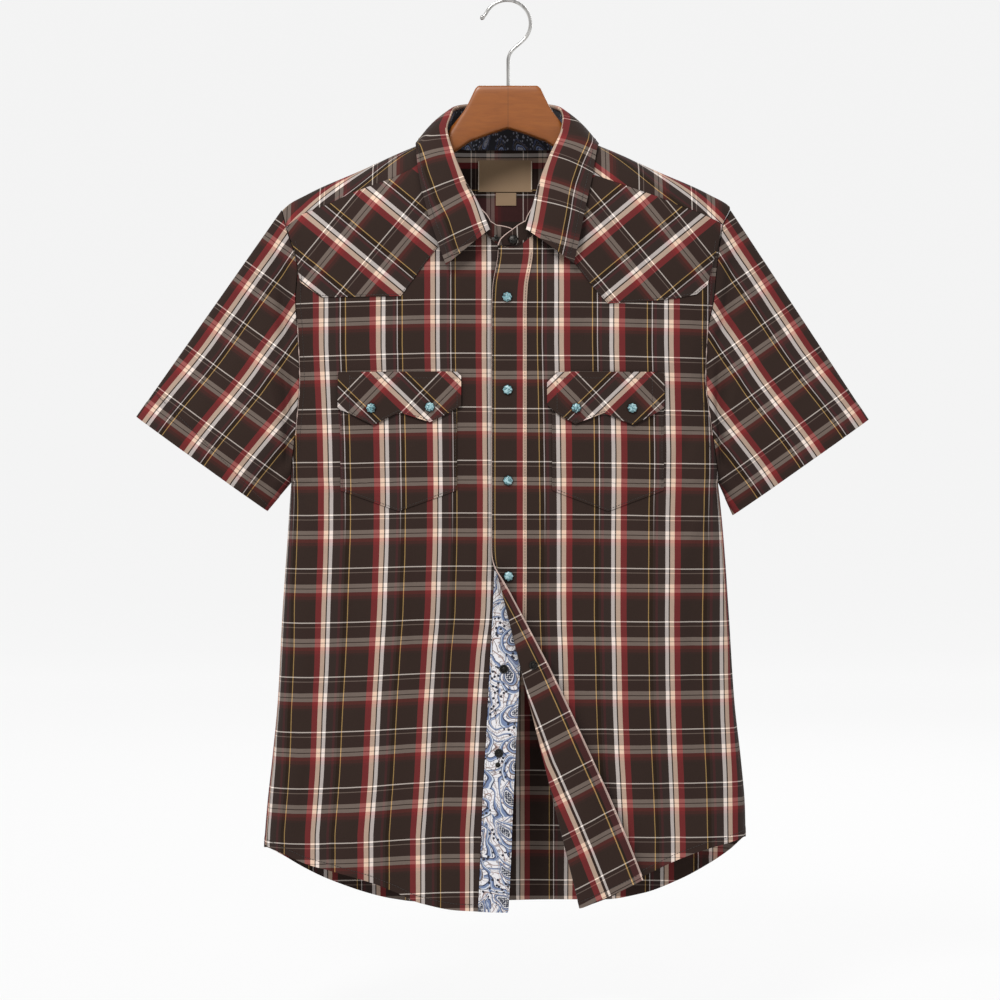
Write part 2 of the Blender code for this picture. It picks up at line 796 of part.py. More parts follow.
def make_pocket(name, sides, surface, finish, parent):
    """A patch with straight sides and a pointed foot."""
    x = spread(*sides, POCKET_GRID[0])[None, :]
    middle = (sides[0] + sides[1]) / 2
    half = (sides[1] - sides[0]) / 2
    foot = POCKET_POINT + (POCKET_SIDE_FOOT - POCKET_POINT) * np.abs(x - middle) / half
    z = POCKET_TOP + (foot - POCKET_TOP) * spread(0, 1, POCKET_GRID[1])[:, None]
    cloth(name, lifted(surface, x + 0 * z, z, ON_PANEL + 0 * z), LAYER, finish, parent)


def flap_height(z):
    return ON_PANEL + (ON_LAYER - ON_PANEL) * ease(FLAP_TOP - z, 0, FLAP_SEAM)


def make_flap(name, outline, surface, finish, parent):
    lower = straight_curve(outline, 1)
    upper = straight_curve(outline, 2)
    knots = [row[0] for row in outline]
    x = np.unique(np.concatenate([knots, (np.array(knots)[1:] + knots[:-1]) / 2]))[None, :]
    z = upper(x) + (lower(x) - upper(x)) * spread(0, 1, FLAP_ROWS)[:, None]
    cloth(name, lifted(surface, x + 0 * z, z, flap_height(z)), LAYER, finish, parent)


def make_strip(name, surface, sides, top, down, columns, finish, parent):
    """A strip along the edge of a front, between two edges, down to the hem."""
    share = np.linspace(0, 1, columns + 1)[None, :]
    x, z = settled(sides[0], sides[1], share, top, lambda x: front_hem(x) - 0.3, down)
    cloth(name, lifted(surface, x, z, ON_PANEL + 0 * x), LAYER, finish, parent)


def along(points, count):
    """Evenly spread points on a smooth curve through a few."""
    points = np.array(points, float)
    chord = np.concatenate([[0], np.cumsum(np.linalg.norm(np.diff(points, axis=0), axis=1))])
    at = np.linspace(0, chord[-1], count)
    columns = [smooth_curve(list(zip(chord, column)))(at) for column in points.T]
    return np.stack(columns, -1)


def unit(vectors):
    return vectors / np.linalg.norm(vectors, axis=-1, keepdims=True)


def neck_seat(station, seat):
    """Where the stand meets the shirt, just inside the edge of the neck hole."""
    place, across = (np.array(float(value)) for value in seat)
    point = front(place, across) if station < FRONT_STATIONS else shoulder(place, across)
    return point + np.array([0, 0, SEAM + 0.5])


def collar_lines(count):
    """The roll line, the free edge and the neck seam, and directions up out of the fold and outward."""
    stations = []
    for half in (COLLAR_R, COLLAR_L):
        stations.append(
            [(*roll, *edge, *neck_seat(i, seat)) for i, (roll, edge, seat) in enumerate(half)]
        )
    roll, edge, seat = COLLAR_BACK
    middle = [(*roll, *edge, *neck_seat(FRONT_STATIONS, seat))]
    lines = along(stations[0] + middle + stations[1][::-1], count)
    roll, edge, seat = lines[:, :3], lines[:, 3:6], lines[:, 6:]
    tangent = unit(np.gradient(roll, axis=0))
    fall = edge - roll
    fall = unit(fall - (fall * tangent).sum(1, keepdims=True) * tangent)
    return roll, edge, seat, -fall, unit(np.cross(tangent, fall))


def rest_on_shirt(points, clear, weight):
    """Moves points that would lie in the shirt out to this distance from its cloth."""
    x, y, z = points.T
    deep_front = body_depth(x, z, front_depth(z), FRONT_FOLDS) + clear
    deep_back = body_depth(x, z, back_depth(z), BACK_FOLDS) + clear
    below = ease(shoulder_line(x) - z, -2, 6) * weight
    out_y = np.where(y < 0, np.minimum(y, -deep_front), np.maximum(y, deep_back))
    return np.stack([x, y + (out_y - y) * below, z], -1)


def make_collar(finish, parent):
    roll, edge, _, up, out = collar_lines(COLLAR_COLUMNS)
    centre = roll - up * COLLAR_TURN
    inner = centre - out * COLLAR_TURN
    rows = [inner - up * COLLAR_LAP]
    for degrees in COLLAR_ANGLES:
        angle = math.radians(degrees)
        rows.append(centre + (up * math.cos(angle) + out * math.sin(angle)) * COLLAR_TURN)
    start = centre + out * COLLAR_TURN
    clear = ON_LAYER + COLLAR_REST
    for share in COLLAR_SHARES:
        bulge = COLLAR_BULGE * math.sin(math.pi * share)
        row = start + (edge - start) * share + out * bulge
        rows.append(rest_on_shirt(row, clear, float(ease(share, 0, COLLAR_SHARES[2]))))
    cloth("collar_fall", np.array(rows), LAYER, finish, parent)


def stand_lines():
    """The stand's lower and upper edges: tab under, round the neck, tab over."""
    roll, _, seat, up, out = collar_lines(COLLAR_COLUMNS)
    inner = roll - up * COLLAR_TURN - out * COLLAR_TURN
    high = inner - up * (COLLAR_LAP + 3 * SEAM)

    def tab(rows, drop):
        low, top = [], []
        for low_x, low_z, top_x, top_z in rows:
            foot = front(np.array(float(low_x)), np.array(float(low_z)))
            low.append(foot + np.array([0, drop, SEAM]))
            top.append(np.array([top_x, foot[1] + drop - TAB_PROUD, top_z]))
        return np.array(low), np.array(top)

    under_low, under_high = tab(TAB_UNDER, UNDER_DROP)
    over_low, over_high = tab(TAB_OVER, 0)
    low = np.concatenate([under_low, seat, over_low])
    return low, np.concatenate([under_high, high, over_high])


def stand(percent_along, percent_up):
    low, high = stand_lines()
    at = percent_along / 100 * (len(low) - 1)
    index = np.arange(len(low))
    place = []
    for line in (low, high):
        place.append(np.stack([np.interp(at, index, line[:, k]) for k in range(3)], -1))
    return place[0] + (place[1] - place[0]) * np.expand_dims(percent_up / 100, -1)


def make_stand(finish, parent):
    low, high = stand_lines()
    rows = [low + (high - low) * share for share in (0, 0.5, 1)]
    cloth("collar_stand", np.array(rows), LAYER, finish, parent)


def make_label(name, place, distance, finish, parent):
    centre, top, width, height = place
    x = centre + width * spread(-0.5, 0.5, LABEL_GRID[0])[None, :]
    z = top - height * spread(0, 1, LABEL_GRID[1])[:, None]
    x, z = np.broadcast_arrays(x, z)
    cloth(name, lifted(back, x, z, distance + 0 * x), LABEL_WALL, finish, parent)


def make_snaps(cap, stud, finishes, parent):
    on_strip = ON_PANEL + LAYER / 2 + SNAP_SEAT
    for number, (x, z) in enumerate(PLACKET_SNAPS, 1):
        seat(f"snap_{number}", cap, over_front, x, z, on_strip, finishes["cap"], parent)
    on_flap = ON_LAYER + LAYER / 2 + SNAP_SEAT
    for side, places, surface in (("r", FLAP_SNAPS_R, under_front), ("l", FLAP_SNAPS_L, front)):
        for number, (x, z) in enumerate(places, 1):
            name = f"flap_snap_{side}{number}"
            seat(name, cap, surface, x, z, on_flap, finishes["cap"], parent)
    for number, (x, z) in enumerate(STUDS, 1):
        seat(f"stud_{number}", stud, under_front, x, z, on_strip, finishes["stud"], parent)
    on_stand = -(LAYER + STAND_SEAT)
    seat("snap_collar", cap, stand, *COLLAR_SNAP, on_stand, finishes["cap"], parent)
    seat("stud_collar", stud, stand, *STUD_COLLAR, on_stand, finishes["stud"], parent)
    x, z = PLACKET_SNAPS[4]
    inside = -(CLOTH / 2 + SNAP_SEAT)
    seat("snap_back", stud, over_front, x, z, inside, finishes["stud"], parent)


def make_hanger(finish, parent):
    top = straight_curve(HANGER, 1)
    foot = straight_curve(HANGER, 2)
    depth = straight_curve(HANGER, 3)
    half = [row[0] for row in HANGER]
    x = np.array([-v for v in half[:0:-1]] + half)
    around = spread(0, 2 * math.pi, HANGER_SIDES)[:-1]
    shape = bmesh.new()
    rings = []
    for place in x:
        size = abs(place)
        middle = (top(size) + foot(size)) / 2
        tall = (top(size) - foot(size)) / 2
        ring = []
        square = HANGER_SQUARE + (1 - HANGER_SQUARE) * float(ease(size, *HANGER_ROUNDS))
        for angle in around:
            c, s = math.cos(angle), math.sin(angle)
            y = depth(size) * math.copysign(abs(c) ** square, c)
            z = middle + tall * math.copysign(abs(s) ** square, s)
            ring.append(shape.verts.new((place * MM, y * MM, z * MM)))
        rings.append(ring)
    for first, second in zip(rings, rings[1:]):
        for j in range(len(first)):
            k = (j + 1) % len(first)
            shape.faces.new((first[j], first[k], second[k], second[j]))
    shape.faces.new(rings[0][::-1])
    shape.faces.new(rings[-1])
    bmesh.ops.recalc_face_normals(shape, faces=shape.faces)
    mesh = bpy.data.meshes.new("hanger")
    shape.to_mesh(mesh)
    shape.free()
    mesh.shade_smooth()
    finished("hanger", mesh, finish, parent)


def make_hook(finish, parent):
    """Wire: straight up out of the hanger, a small offset bend, and round over the rod to a ball end."""
    centre_x, centre_z = HOOK_CENTRE
    path = list(HOOK_FOOT)
    for degrees in range(*HOOK_TURN):
        angle = math.radians(degrees)
        path.append(
            (
                centre_x + HOOK_RADIUS * math.cos(angle),
                centre_z + HOOK_RADIUS * math.sin(angle),
            )
        )
    path += HOOK_TIP
    curve = bpy.data.curves.new("hook", "CURVE")
    curve.dimensions = "3D"
    line = curve.splines.new("POLY")
    smooth = along([(x, 0, z) for x, z in path], HOOK_POINTS)
    line.points.add(len(smooth) - 1)
    for point, place in zip(line.points, smooth):
        point.co = (*(place * MM), 1)
    line.points[-1].radius = 0.7
    line.points[-2].radius = HOOK_BALL / WIRE_RADIUS
    line.points[-3].radius = HOOK_BALL / WIRE_RADIUS
    curve.bevel_depth = WIRE_RADIUS * MM
    curve.bevel_resolution = 1
    curve.use_fill_caps = True
    made = bpy.data.objects.new("hook", curve)
    curve.materials.append(finish)
    bpy.context.scene.collection.objects.link(made)
    made.parent = parent


def main():
    for old in list(bpy.data.objects):
        bpy.data.objects.remove(old)
    shirt = bpy.data.objects.new("shirt", None)
    bpy.context.scene.collection.objects.link(shirt)
    plaid = material("plaid", (0.05, 0.04, 0.035), 0.85)
    print_cloth = material("paisley", (0.6, 0.64, 0.72), 0.8)
    cap_finish = material("snap_cap", (0.2, 0.5, 0.52), 0.25)
    metal = material("snap_metal", (0.08, 0.07, 0.06), 0.35, 0.9)
    label = material("label", (0.12, 0.07, 0.04), 0.8)
    wood = material("wood", (0.35, 0.13, 0.04), 0.35)
    steel = material("wire", (0.75, 0.73, 0.7), 0.25, 1.0)

    make_front_r(plaid, shirt)
    make_front_l(plaid, shirt)
    make_back(plaid, shirt)
    make_back_yoke(plaid, shirt)
    make_front_yoke("front_yoke_r", under_front, YOKE_R_LOWER, plaid, shirt)
    make_front_yoke("front_yoke_l", front, YOKE_L_LOWER, plaid, shirt)
    make_sleeve("sleeve_r", minus_edge, CUFF_R, plaid, shirt)
    make_sleeve("sleeve_l", plus_edge, CUFF_L, plaid, shirt)
    make_collar(plaid, shirt)
    make_stand(plaid, shirt)
    make_strip(
        "placket",
        over_front,
        (over_edge, lambda z: over_edge(z) + PLACKET_WIDTH),
        lambda x: front_top(x) - SEAM,
        rows_down(*OVER_ROWS),
        10,
        plaid,
        shirt,
    )
    make_strip(
        "facing",
        under_front,
        (lambda z: under_edge(z) - FACING_WIDTH, under_edge),
        lambda x: FACING_TOP + 0 * x,
        rows_down((1.0, 16)),
        3,
        print_cloth,
        shirt,
    )
    make_pocket("pocket_r", POCKET_R, under_front, plaid, shirt)
    make_pocket("pocket_l", POCKET_L, front, plaid, shirt)
    make_flap("flap_r", FLAP_R, under_front, plaid, shirt)
    make_flap("flap_l", FLAP_L, front, plaid, shirt)
    inside = CLOTH / 2 + GAP + LABEL_WALL / 2
    make_label("label", LABEL, inside, label, shirt)
    make_label("size_tab", SIZE_TAB, inside, label, shirt)

    cap = turned(
        "snap_cap",
        ((0, 0), (CAP_RADIUS, 0), (CAP_RADIUS, 1.1), (3.6, 2.5), (0, CAP_HEIGHT)),
        12,
    )
    stud = turned(
        "snap_stud",
        ((0, 0), (STUD_RADIUS, 0), (STUD_RADIUS, 0.8), (1.8, STUD_HEIGHT), (0, STUD_HEIGHT)),
        10,
    )
    make_snaps(cap, stud, {"cap": cap_finish, "stud": metal}, shirt)
    make_hanger(wood, shirt)
    make_hook(steel, shirt)


main()
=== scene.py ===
"""The looks of a short-sleeved western snap shirt on a contoured wooden hanger.

Each piece of cloth is a thin shell on the same surfaces (front, back, shoulder) as its solid, with finer
creases, its own cut of the plaid, and its seams and stitches. Tables are in millimetres in the frame of the
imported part: z runs down from the inside of the hook's top, the shirt faces -Y and +X is the wearer's left.
"""

import math

import bpy
import numpy as np
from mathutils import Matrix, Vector


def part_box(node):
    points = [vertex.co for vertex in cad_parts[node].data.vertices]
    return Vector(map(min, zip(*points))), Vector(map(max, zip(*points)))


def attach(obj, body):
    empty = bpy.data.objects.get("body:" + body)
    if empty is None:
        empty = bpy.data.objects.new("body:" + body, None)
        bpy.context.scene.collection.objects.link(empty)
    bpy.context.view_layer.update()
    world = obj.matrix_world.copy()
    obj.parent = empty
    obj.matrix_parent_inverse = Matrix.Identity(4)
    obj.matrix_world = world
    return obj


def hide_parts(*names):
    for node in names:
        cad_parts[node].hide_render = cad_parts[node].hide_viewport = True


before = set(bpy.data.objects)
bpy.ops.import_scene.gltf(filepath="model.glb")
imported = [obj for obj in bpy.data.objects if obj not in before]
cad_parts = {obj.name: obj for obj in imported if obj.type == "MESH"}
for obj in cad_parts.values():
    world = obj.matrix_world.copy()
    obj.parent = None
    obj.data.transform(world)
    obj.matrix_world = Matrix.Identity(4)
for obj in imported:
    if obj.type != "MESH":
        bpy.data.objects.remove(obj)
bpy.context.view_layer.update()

MM = 0.001

# Cloth
SHEET = 0.7  # thickness of one cloth
LIFT = 0.95  # from a panel's middle to that of a piece sewn on it
FLAP_LIFT = 2.5  # the same at a flap's free edge
GRID = 3.2  # spacing of a shell's points
HEM_WIDTH = 7.5
EDGE_STITCH = 1.8  # from a piece's edge to its stitches
ARMHOLE_STITCH = 5
STITCH_LENGTH = 2.3
STITCH_PITCH = 3.0
STITCH_SECTIONS = (0, 0.2, 0.8, 1)
STITCH_RADII = ((0.08, 0.24, 0.24, 0.08),)
TUBE_SIDES = 6
ON_PANEL = SHEET / 2 + 0.08  # from a panel's middle to the stitches on it
ON_PATCH = LIFT + SHEET / 2 + 0.08
HEM_STEP = 0.6
CUFF_HEM = 19
CREASE_GAIN = 2.8
SEAM = 0.35  # from the line where two pieces meet to each of them
TURNED_EDGE = 0.9  # thickness of the collar and its stand

# Armholes and body section, as in the solids
SHOULDER_Z = -217
ARMPIT_Z = -500
ARM_DEPTH = 20
ARM_BEND = 3.0
ARM_GAP = 0.7
SIDE_GAP = 0.6
BODY_BEND = 2.6
SHOULDER_ARCH = 70

#   z      minus_x  plus_x
SIDE_EDGES = (
    (-217, -234, 230),
    (-236, -229, 221),
    (-280, -217, 215),
    (-311, -219, 212),
    (-342, -217, 206),
    (-394, -215, 204),
    (-435, -218, 209),
    (-500, -225, 218),
    (-560, -229, 224),
    (-632, -234, 229),
    (-726, -239, 235),
    (-789, -245, 242),
    (-835, -250, 246),
    (-874, -253, 247),
    (-950, -256, 250),
)
#   x     z
SHOULDER_LINE = (
    (0, -118),
    (40, -127),
    (70, -140),
    (118, -160),
    (154, -176.5),
    (194, -193.5),
    (211, -202),
    (226, -210),
    (234, -217),
)
#   z     front  back
DEPTHS = ((-118, 45, 42), (-300, 45, 42), (-500, 46, 44), (-700, 48, 47), (-945, 51, 51))
#   x     z
FRONT_TOP = (
    (-234, -239),
    (-212, -223),
    (-184, -213),
    (-162, -202.5),
    (-115, -185.5),
    (-93, -175),
    (-73, -167),
    (-64, -190),
    (-50, -214),
    (-30, -240),
    (-12, -255),
    (0, -259),
    (12, -257),
    (30, -242),
    (50, -219),
    (64, -198),
    (73, -179),
    (85, -183.5),
    (125, -196.5),
    (155, -206.5),
    (173, -214),
    (199, -222.5),
    (219, -231.5),
    (230, -239),
)
#   x    behind
YOKE_NECK = (
    (-73, -24),
    (-71, -13),
    (-69.5, -5),
    (-65, 6),
    (-55, 15),
    (-35, 24),
    (0, 31),
    (35, 24),
    (55, 15),
    (65, 6),
    (69.5, -5),
    (71, -16),
    (73, -36),
)
#   x     front  back
HEM = (
    (-256, -873, -873),
    (-230, -883, -890),
    (-207, -892, -905),
    (-182, -898.5, -918),
    (-142, -909, -933),
    (-118, -918, -939),
    (-90, -930, -942.5),
    (-50, -938, -942),
    (0, -940, -941),
    (60, -937, -940),
    (100, -926, -940),
    (141, -902, -933),
    (178, -885.5, -918.5),
    (205, -876.5, -903.5),
    (232, -870, -884),
    (250, -864, -864),
)
#   z      over   under
FRONT_EDGES = (
    (-945, -1, 0),
    (-886, -7, 3),
    (-832, -11, 5),
    (-733, -16, 10),
    (-693, -17, 12),
    (-580, -16.5, 17),
    (-325, -16.5, 19),
    (-300, -15.5, 19),
    (-262, -10, 19),
    (-240, -10, 19),
)
UNDER_DROP = 2.6
OVERLAP_FROM = -78
OVERLAP_FULL = -36
FOLD_TOP = (-15.5, -574)
FOLD_FOOT = (73, -934)
FOLD_RADIUS = 3.6
FOLD_EASE = 48
YOKE_BACK_Z = -300
YOKE_FORWARD = 0.315  # beyond this share of its half width the back yoke reaches over to the front
PLACKET_WIDTH = 35.5
FACING_WIDTH = 31
FACING_TOP = -500

# Folds that the solids have, then finer creases: a trough (negative) or ridge along a line
#   x0    z0    x1    z1   width  height
FRONT_FOLDS = (
    (-208, -400, -150, -560, 20, -5),
    (-196, -640, -216, -860, 24, -6),
    (-120, -560, -136, -900, 30, 4),
    (-60, -640, -70, -900, 22, -4),
    (188, -330, 205, -560, 13, 5),
    (196, -610, 214, -850, 26, -6),
    (120, -600, 126, -880, 30, 4),
    (64, -440, 60, -640, 26, -3),
)
BACK_FOLDS = (
    (-200, -380, -130, -560, 24, -6),
    (200, -380, 130, -560, 24, -6),
    (-150, -560, -170, -920, 30, 5),
    (150, -560, 165, -900, 30, 5),
    (-40, -420, -50, -920, 34, 4),
    (60, -520, 64, -930, 30, -5),
)
FRONT_CREASES = (
    (-206, -250, -196, -330, 7, 1.2),
    (-214, -470, -168, -520, 7, -1.6),
    (-216, -500, -180, -575, 8, 1.5),
    (-190, -540, -186, -640, 9, -1.3),
    (-222, -600, -206, -700, 8, 1.4),
    (-160, -610, -170, -760, 10, -1.2),
    (-212, -760, -226, -870, 8, 1.5),
    (-178, -790, -184, -905, 9, -1.4),
    (-98, -560, -96, -690, 9, -1.0),
    (-84, -720, -92, -925, 10, 1.5),
    (-40, -560, -34, -700, 8, 1.1),
    (-30, -790, -36, -935, 8, -1.1),
    (-74, -330, -70, -385, 8, -0.8),
    (-130, -318, -126, -380, 10, 0.8),
    (192, -270, 198, -350, 6, -1.0),
    (196, -440, 160, -500, 7, -1.5),
    (206, -510, 176, -590, 8, 1.4),
    (188, -600, 192, -720, 9, -1.3),
    (150, -560, 148, -690, 10, 1.1),
    (222, -690, 226, -800, 7, 1.3),
    (166, -760, 172, -890, 10, -1.4),
    (96, -690, 100, -900, 11, -1.3),
    (88, -330, 84, -382, 8, 0.7),
    (142, -320, 138, -380, 9, -0.7),
    (40, -520, 44, -600, 8, 0.9),
)
BACK_CREASES = (
    (-190, -330, -150, -470, 9, 1.5),
    (190, -330, 152, -470, 9, 1.6),
    (-214, -500, -160, -600, 8, -1.5),
    (212, -490, 166, -610, 8, -1.4),
    (-100, -310, -96, -480, 10, 1.3),
    (104, -312, 98, -470, 9, -1.2),
    (-20, -310, -18, -520, 9, 1.2),
    (24, -312, 22, -560, 8, -1.1),
    (-110, -600, -118, -840, 11, -1.5),
    (104, -640, 110, -900, 10, 1.5),
    (-200, -700, -214, -870, 9, 1.6),
    (200, -690, 216, -850, 9, -1.5),
    (-66, -700, -72, -930, 10, 1.3),
    (8, -640, 4, -930, 10, -1.3),
    (-150, -330, -146, -420, 8, -0.9),
    (148, -330, 146, -430, 8, 1.0),
    (-224, -600, -220, -700, 7, 1.1),
    (222, -600, 224, -690, 7, 1.2),
    (56, -380, 54, -500, 9, 1.0),
    (-70, -520, -76, -660, 9, -1.0),
)

CUFF_R = ((-386, -431.5), (-250.5, -529))
CUFF_L = ((374.5, -434.5), (234, -533.5))
CUFF_DEPTH = 15
SLEEVE_BEND = 2.4
SLEEVE_SWELL = 4
SLEEVE_LENGTH = 165
SLEEVE_CREASE_GAIN = 1.7
# Creases of a sleeve: share of the way round (0 at the armpit, 0.5 at the top), start and end share of the
# length, width as a share of the way round, height
SLEEVE_CREASES = (
    (0.12, 0.0, 0.7, 0.02, -1.6),
    (0.17, 0.1, 1.0, 0.022, 1.4),
    (0.24, 0.0, 0.5, 0.02, -1.2),
    (0.31, 0.3, 1.1, 0.022, 1.2),
    (0.37, 0.0, 0.6, 0.018, -1.0),
    (0.44, 0.2, 0.9, 0.02, 0.9),
    (0.56, 0.1, 0.8, 0.02, -1.0),
    (0.63, 0.3, 1.1, 0.024, 1.3),
    (0.70, 0.0, 0.6, 0.02, -1.4),
    (0.77, 0.2, 1.0, 0.022, 1.3),
    (0.84, 0.0, 0.7, 0.02, -1.5),
    (0.90, 0.2, 1.0, 0.018, 1.0),
)

# Soft troughs beside the armholes: place and width as shares of the sleeve's length, depth, and from which
# to which share of the armhole's height they run
SLEEVE_TROUGHS = (
    (0.1, 0.06, 6.5, 0.25, 0.75),
    (0.15, 0.07, 6.0, -0.6, -0.2),
    (0.3, 0.05, -2.0, -0.2, 0.3),
)

#   x     z
YOKE_R_LOWER = (
    (-229, -240),
    (-216, -281),
    (-214, -293),
    (-192, -309.5),
    (-110, -309),
    (-78, -266),
    (-57, -239),
)
YOKE_L_LOWER = (
    (46, -240),
    (68, -275),
    (88, -301),
    (102, -316.5),
    (142, -314),
    (171, -311),
    (194, -306),
    (205, -296),
    (214, -262),
    (219, -245),
)
POCKET_TOP = -399
POCKET_SIDE_FOOT = -508
POCKET_POINT = -529.5
POCKET_R = (-172, -52.5)
POCKET_L = (45, 159.5)
FLAP_TOP = -386.5
FLAP_SEAM = 13
FLAP_THICKNESS = 1.1
#   x      lower edge   upper edge
FLAP_R = (
    (-174.2, -424, -386.5),
    (-162, -429, -386.5),
    (-138.3, -441.2, -386.5),
    (-111.7, -428, -386.5),
    (-80, -438.2, -386.5),
    (-65.6, -431, -386.5),
    (-52.5, -424, -386.5),
    (-48.3, -421, -391),
)
FLAP_L = (
    (39.8, -420.5, -397),
    (50, -429.5, -387),
    (68.5, -440, -386.5),
    (98, -428.8, -386.5),
    (127.8, -441, -386.5),
    (147.3, -431, -386.5),
    (159.8, -423.5, -388),
)

# Collar stations from a front end to the middle of the back: fold-over line, free edge, neck seam
FRONT_STATIONS = 3
#    roll x     y     z         edge x     y      z         seat
COLLAR_R = (
    ((-18.5, -52, -241.5), (-63.5, -53.5, -278), (-20.5, -247.9)),
    ((-31.8, -50, -212), (-73.7, -54, -249.5), (-47.5, -213)),
    ((-44.2, -44, -190), (-84, -50, -217.5), (-60, -190.5)),
    ((-56.7, -33, -159), (-91.5, -42, -184.5), (-70, -19)),
    ((-63, -17, -133), (-95, -23, -154), (-68, -6)),
    ((-60, -6, -120), (-95.5, -6, -147.5), (-66.5, 0)),
    ((-56, 6, -109.5), (-94, 10, -145), (-64.5, 3.5)),
    ((-36, 32, -102), (-70, 48, -144), (-44, 18.5)),
)
COLLAR_L = (
    ((18.2, -52, -241.5), (67.2, -53.5, -276), (20, -250.3)),
    ((25.4, -51, -216.5), (73.4, -54, -247.5), (42, -224)),
    ((32.7, -45, -190), (78.6, -50.5, -220.5), (57.5, -202)),
    ((43, -35, -163), (86, -42, -188), (70, -30)),
    ((55, -18, -135), (92, -23, -154), (68, -8)),
    ((57, -6, -121), (94, -6, -148), (66.5, 0)),
    ((54, 6, -110), (91, 10, -145), (64.5, 3.5)),
    ((34, 32, -102), (70, 48, -144), (44, 18.5)),
)
COLLAR_BACK = ((0, 44, -99), (0, 60, -145), (0, 28.5))
#   foot x z, top x z, from the tab's end (under) and toward it (over)
TAB_UNDER = (
    (9, -257, 9, -243.5),
    (3, -258, 2.7, -239.9),
    (-4, -257.5, -4.5, -237.8),
    (-11, -254, -12, -236.6),
)
TAB_OVER = (
    (11, -255, 10.5, -236.5),
    (4, -257, 4, -241.5),
    (-2.5, -257.5, -2.5, -246.3),
    (-7.5, -258, -8, -251.7),
    (-10.3, -259.5, -10.4, -257.5),
)
STAND_PEEK = (3.6, 192, 215)  # how far the stand's top shows past the leaves, from and to these depths
STAND_RISE = (10, 215, 242)
STAND_TUCK = (5.0, 1.2)  # how far its foot reaches below the neck seam and into the neck hole
TAB_PROUD = 4.5
COLLAR_TURN = 1.6
COLLAR_LAP = 1.5
COLLAR_BULGE = 3
COLLAR_COLUMNS = 181
#   z     place in the plaid's repeat at the roll line
COLLAR_CUT = (
    (-242, 0.302),
    (-229, 0.29),
    (-211, 0.25),
    (-190, 0.213),
    (-175, 0.182),
    (-156, 0.16),
    (-133, 0.137),
    (-110, 0.122),
    (-99, 0.118),
)
COLLAR_LAST = -0.705  # the same at the free edge

PLACKET_SNAPS = ((-1, -310), (-0.5, -405), (0, -498), (0.4, -596), (-4, -694), (2, -791))
FLAP_SNAPS_R = ((-139.9, -423.7), (-80, -422.7))
FLAP_SNAPS_L = ((69.5, -423.7), (126.8, -423.7))
STUDS = ((-4.5, -691), (-9.5, -777))
COLLAR_SNAP_FACES = (0, -1, 0.3)
RING = (-10.5, -789)  # a small metal ring under the lower stud
# Turned profiles: radius, height
SNAP_BASE = ((5.0, 0), (5.4, 0.3), (5.4, 0.8), (5.0, 1.3), (4.2, 1.5))
SNAP_CAP = ((4.3, 0.9), (4.95, 1.4), (4.8, 2.0), (4.0, 2.7), (2.9, 3.1), (1.6, 3.3), (0.3, 3.35))
STUD_RIM = ((4.3, 0), (4.5, 0.3), (4.4, 0.8), (3.0, 1.0), (2.6, 0.6))
STUD = STUD_RIM + ((1.8, 0.7), (1.6, 1.9), (1.2, 2.1), (0.3, 2.1))
RING_SHAPE = ((2.2, 0), (2.6, 0.4), (2.2, 0.8), (1.5, 0.7), (1.3, 0.2))
SNAP_LOBES = 8

# Middle, top, width and height
LABEL = (-3, -160, 57, 33)
SIZE_TAB = (-2, -194, 21.5, 13.5)
ON_LABEL = SHEET / 2 + 0.5

#   x     top     bottom  depth
HANGER = (
    (0, -87.5, -131.7, 8.5),
    (15, -87.5, -136.4, 8.5),
    (30, -87.5, -141.8, 8.5),
    (33.5, -90, -143.3, 8.5),
    (37.5, -98, -144.5, 8.5),
    (45, -112.5, -149, 8.5),
    (54, -124, -155.5, 8.5),
    (62, -134, -160, 8.4),
    (67, -147, -163, 8),
    (72, -150, -166, 8.2),
    (95, -155, -175, 9),
    (118, -162.3, -185, 9.5),
    (154, -177.9, -201.5, 10),
    (194, -195, -218, 10),
    (206, -201, -222, 8),
    (212, -206, -217, 4),
)
HANGER_ROUNDS = (45, 68)  # from and to here its section turns from square to oval
WIRE_RADIUS = 1.8
HOOK_RADIUS = 24.3
HOOK_CENTRE = (-1, -22.5)
HOOK_BALL = 2.6
#   x z up the wire to the hook's bow, and from the bow to its tip
HOOK_SHANK = ((0, -87.1), (0, -78), (0, -68), (0.1, -60.5), (1.6, -54.5), (5.6, -49))
HOOK_BOW = (-50, 156)  # degrees
HOOK_TIP = ((-25.8, -15.5), (-28.5, -18.2))

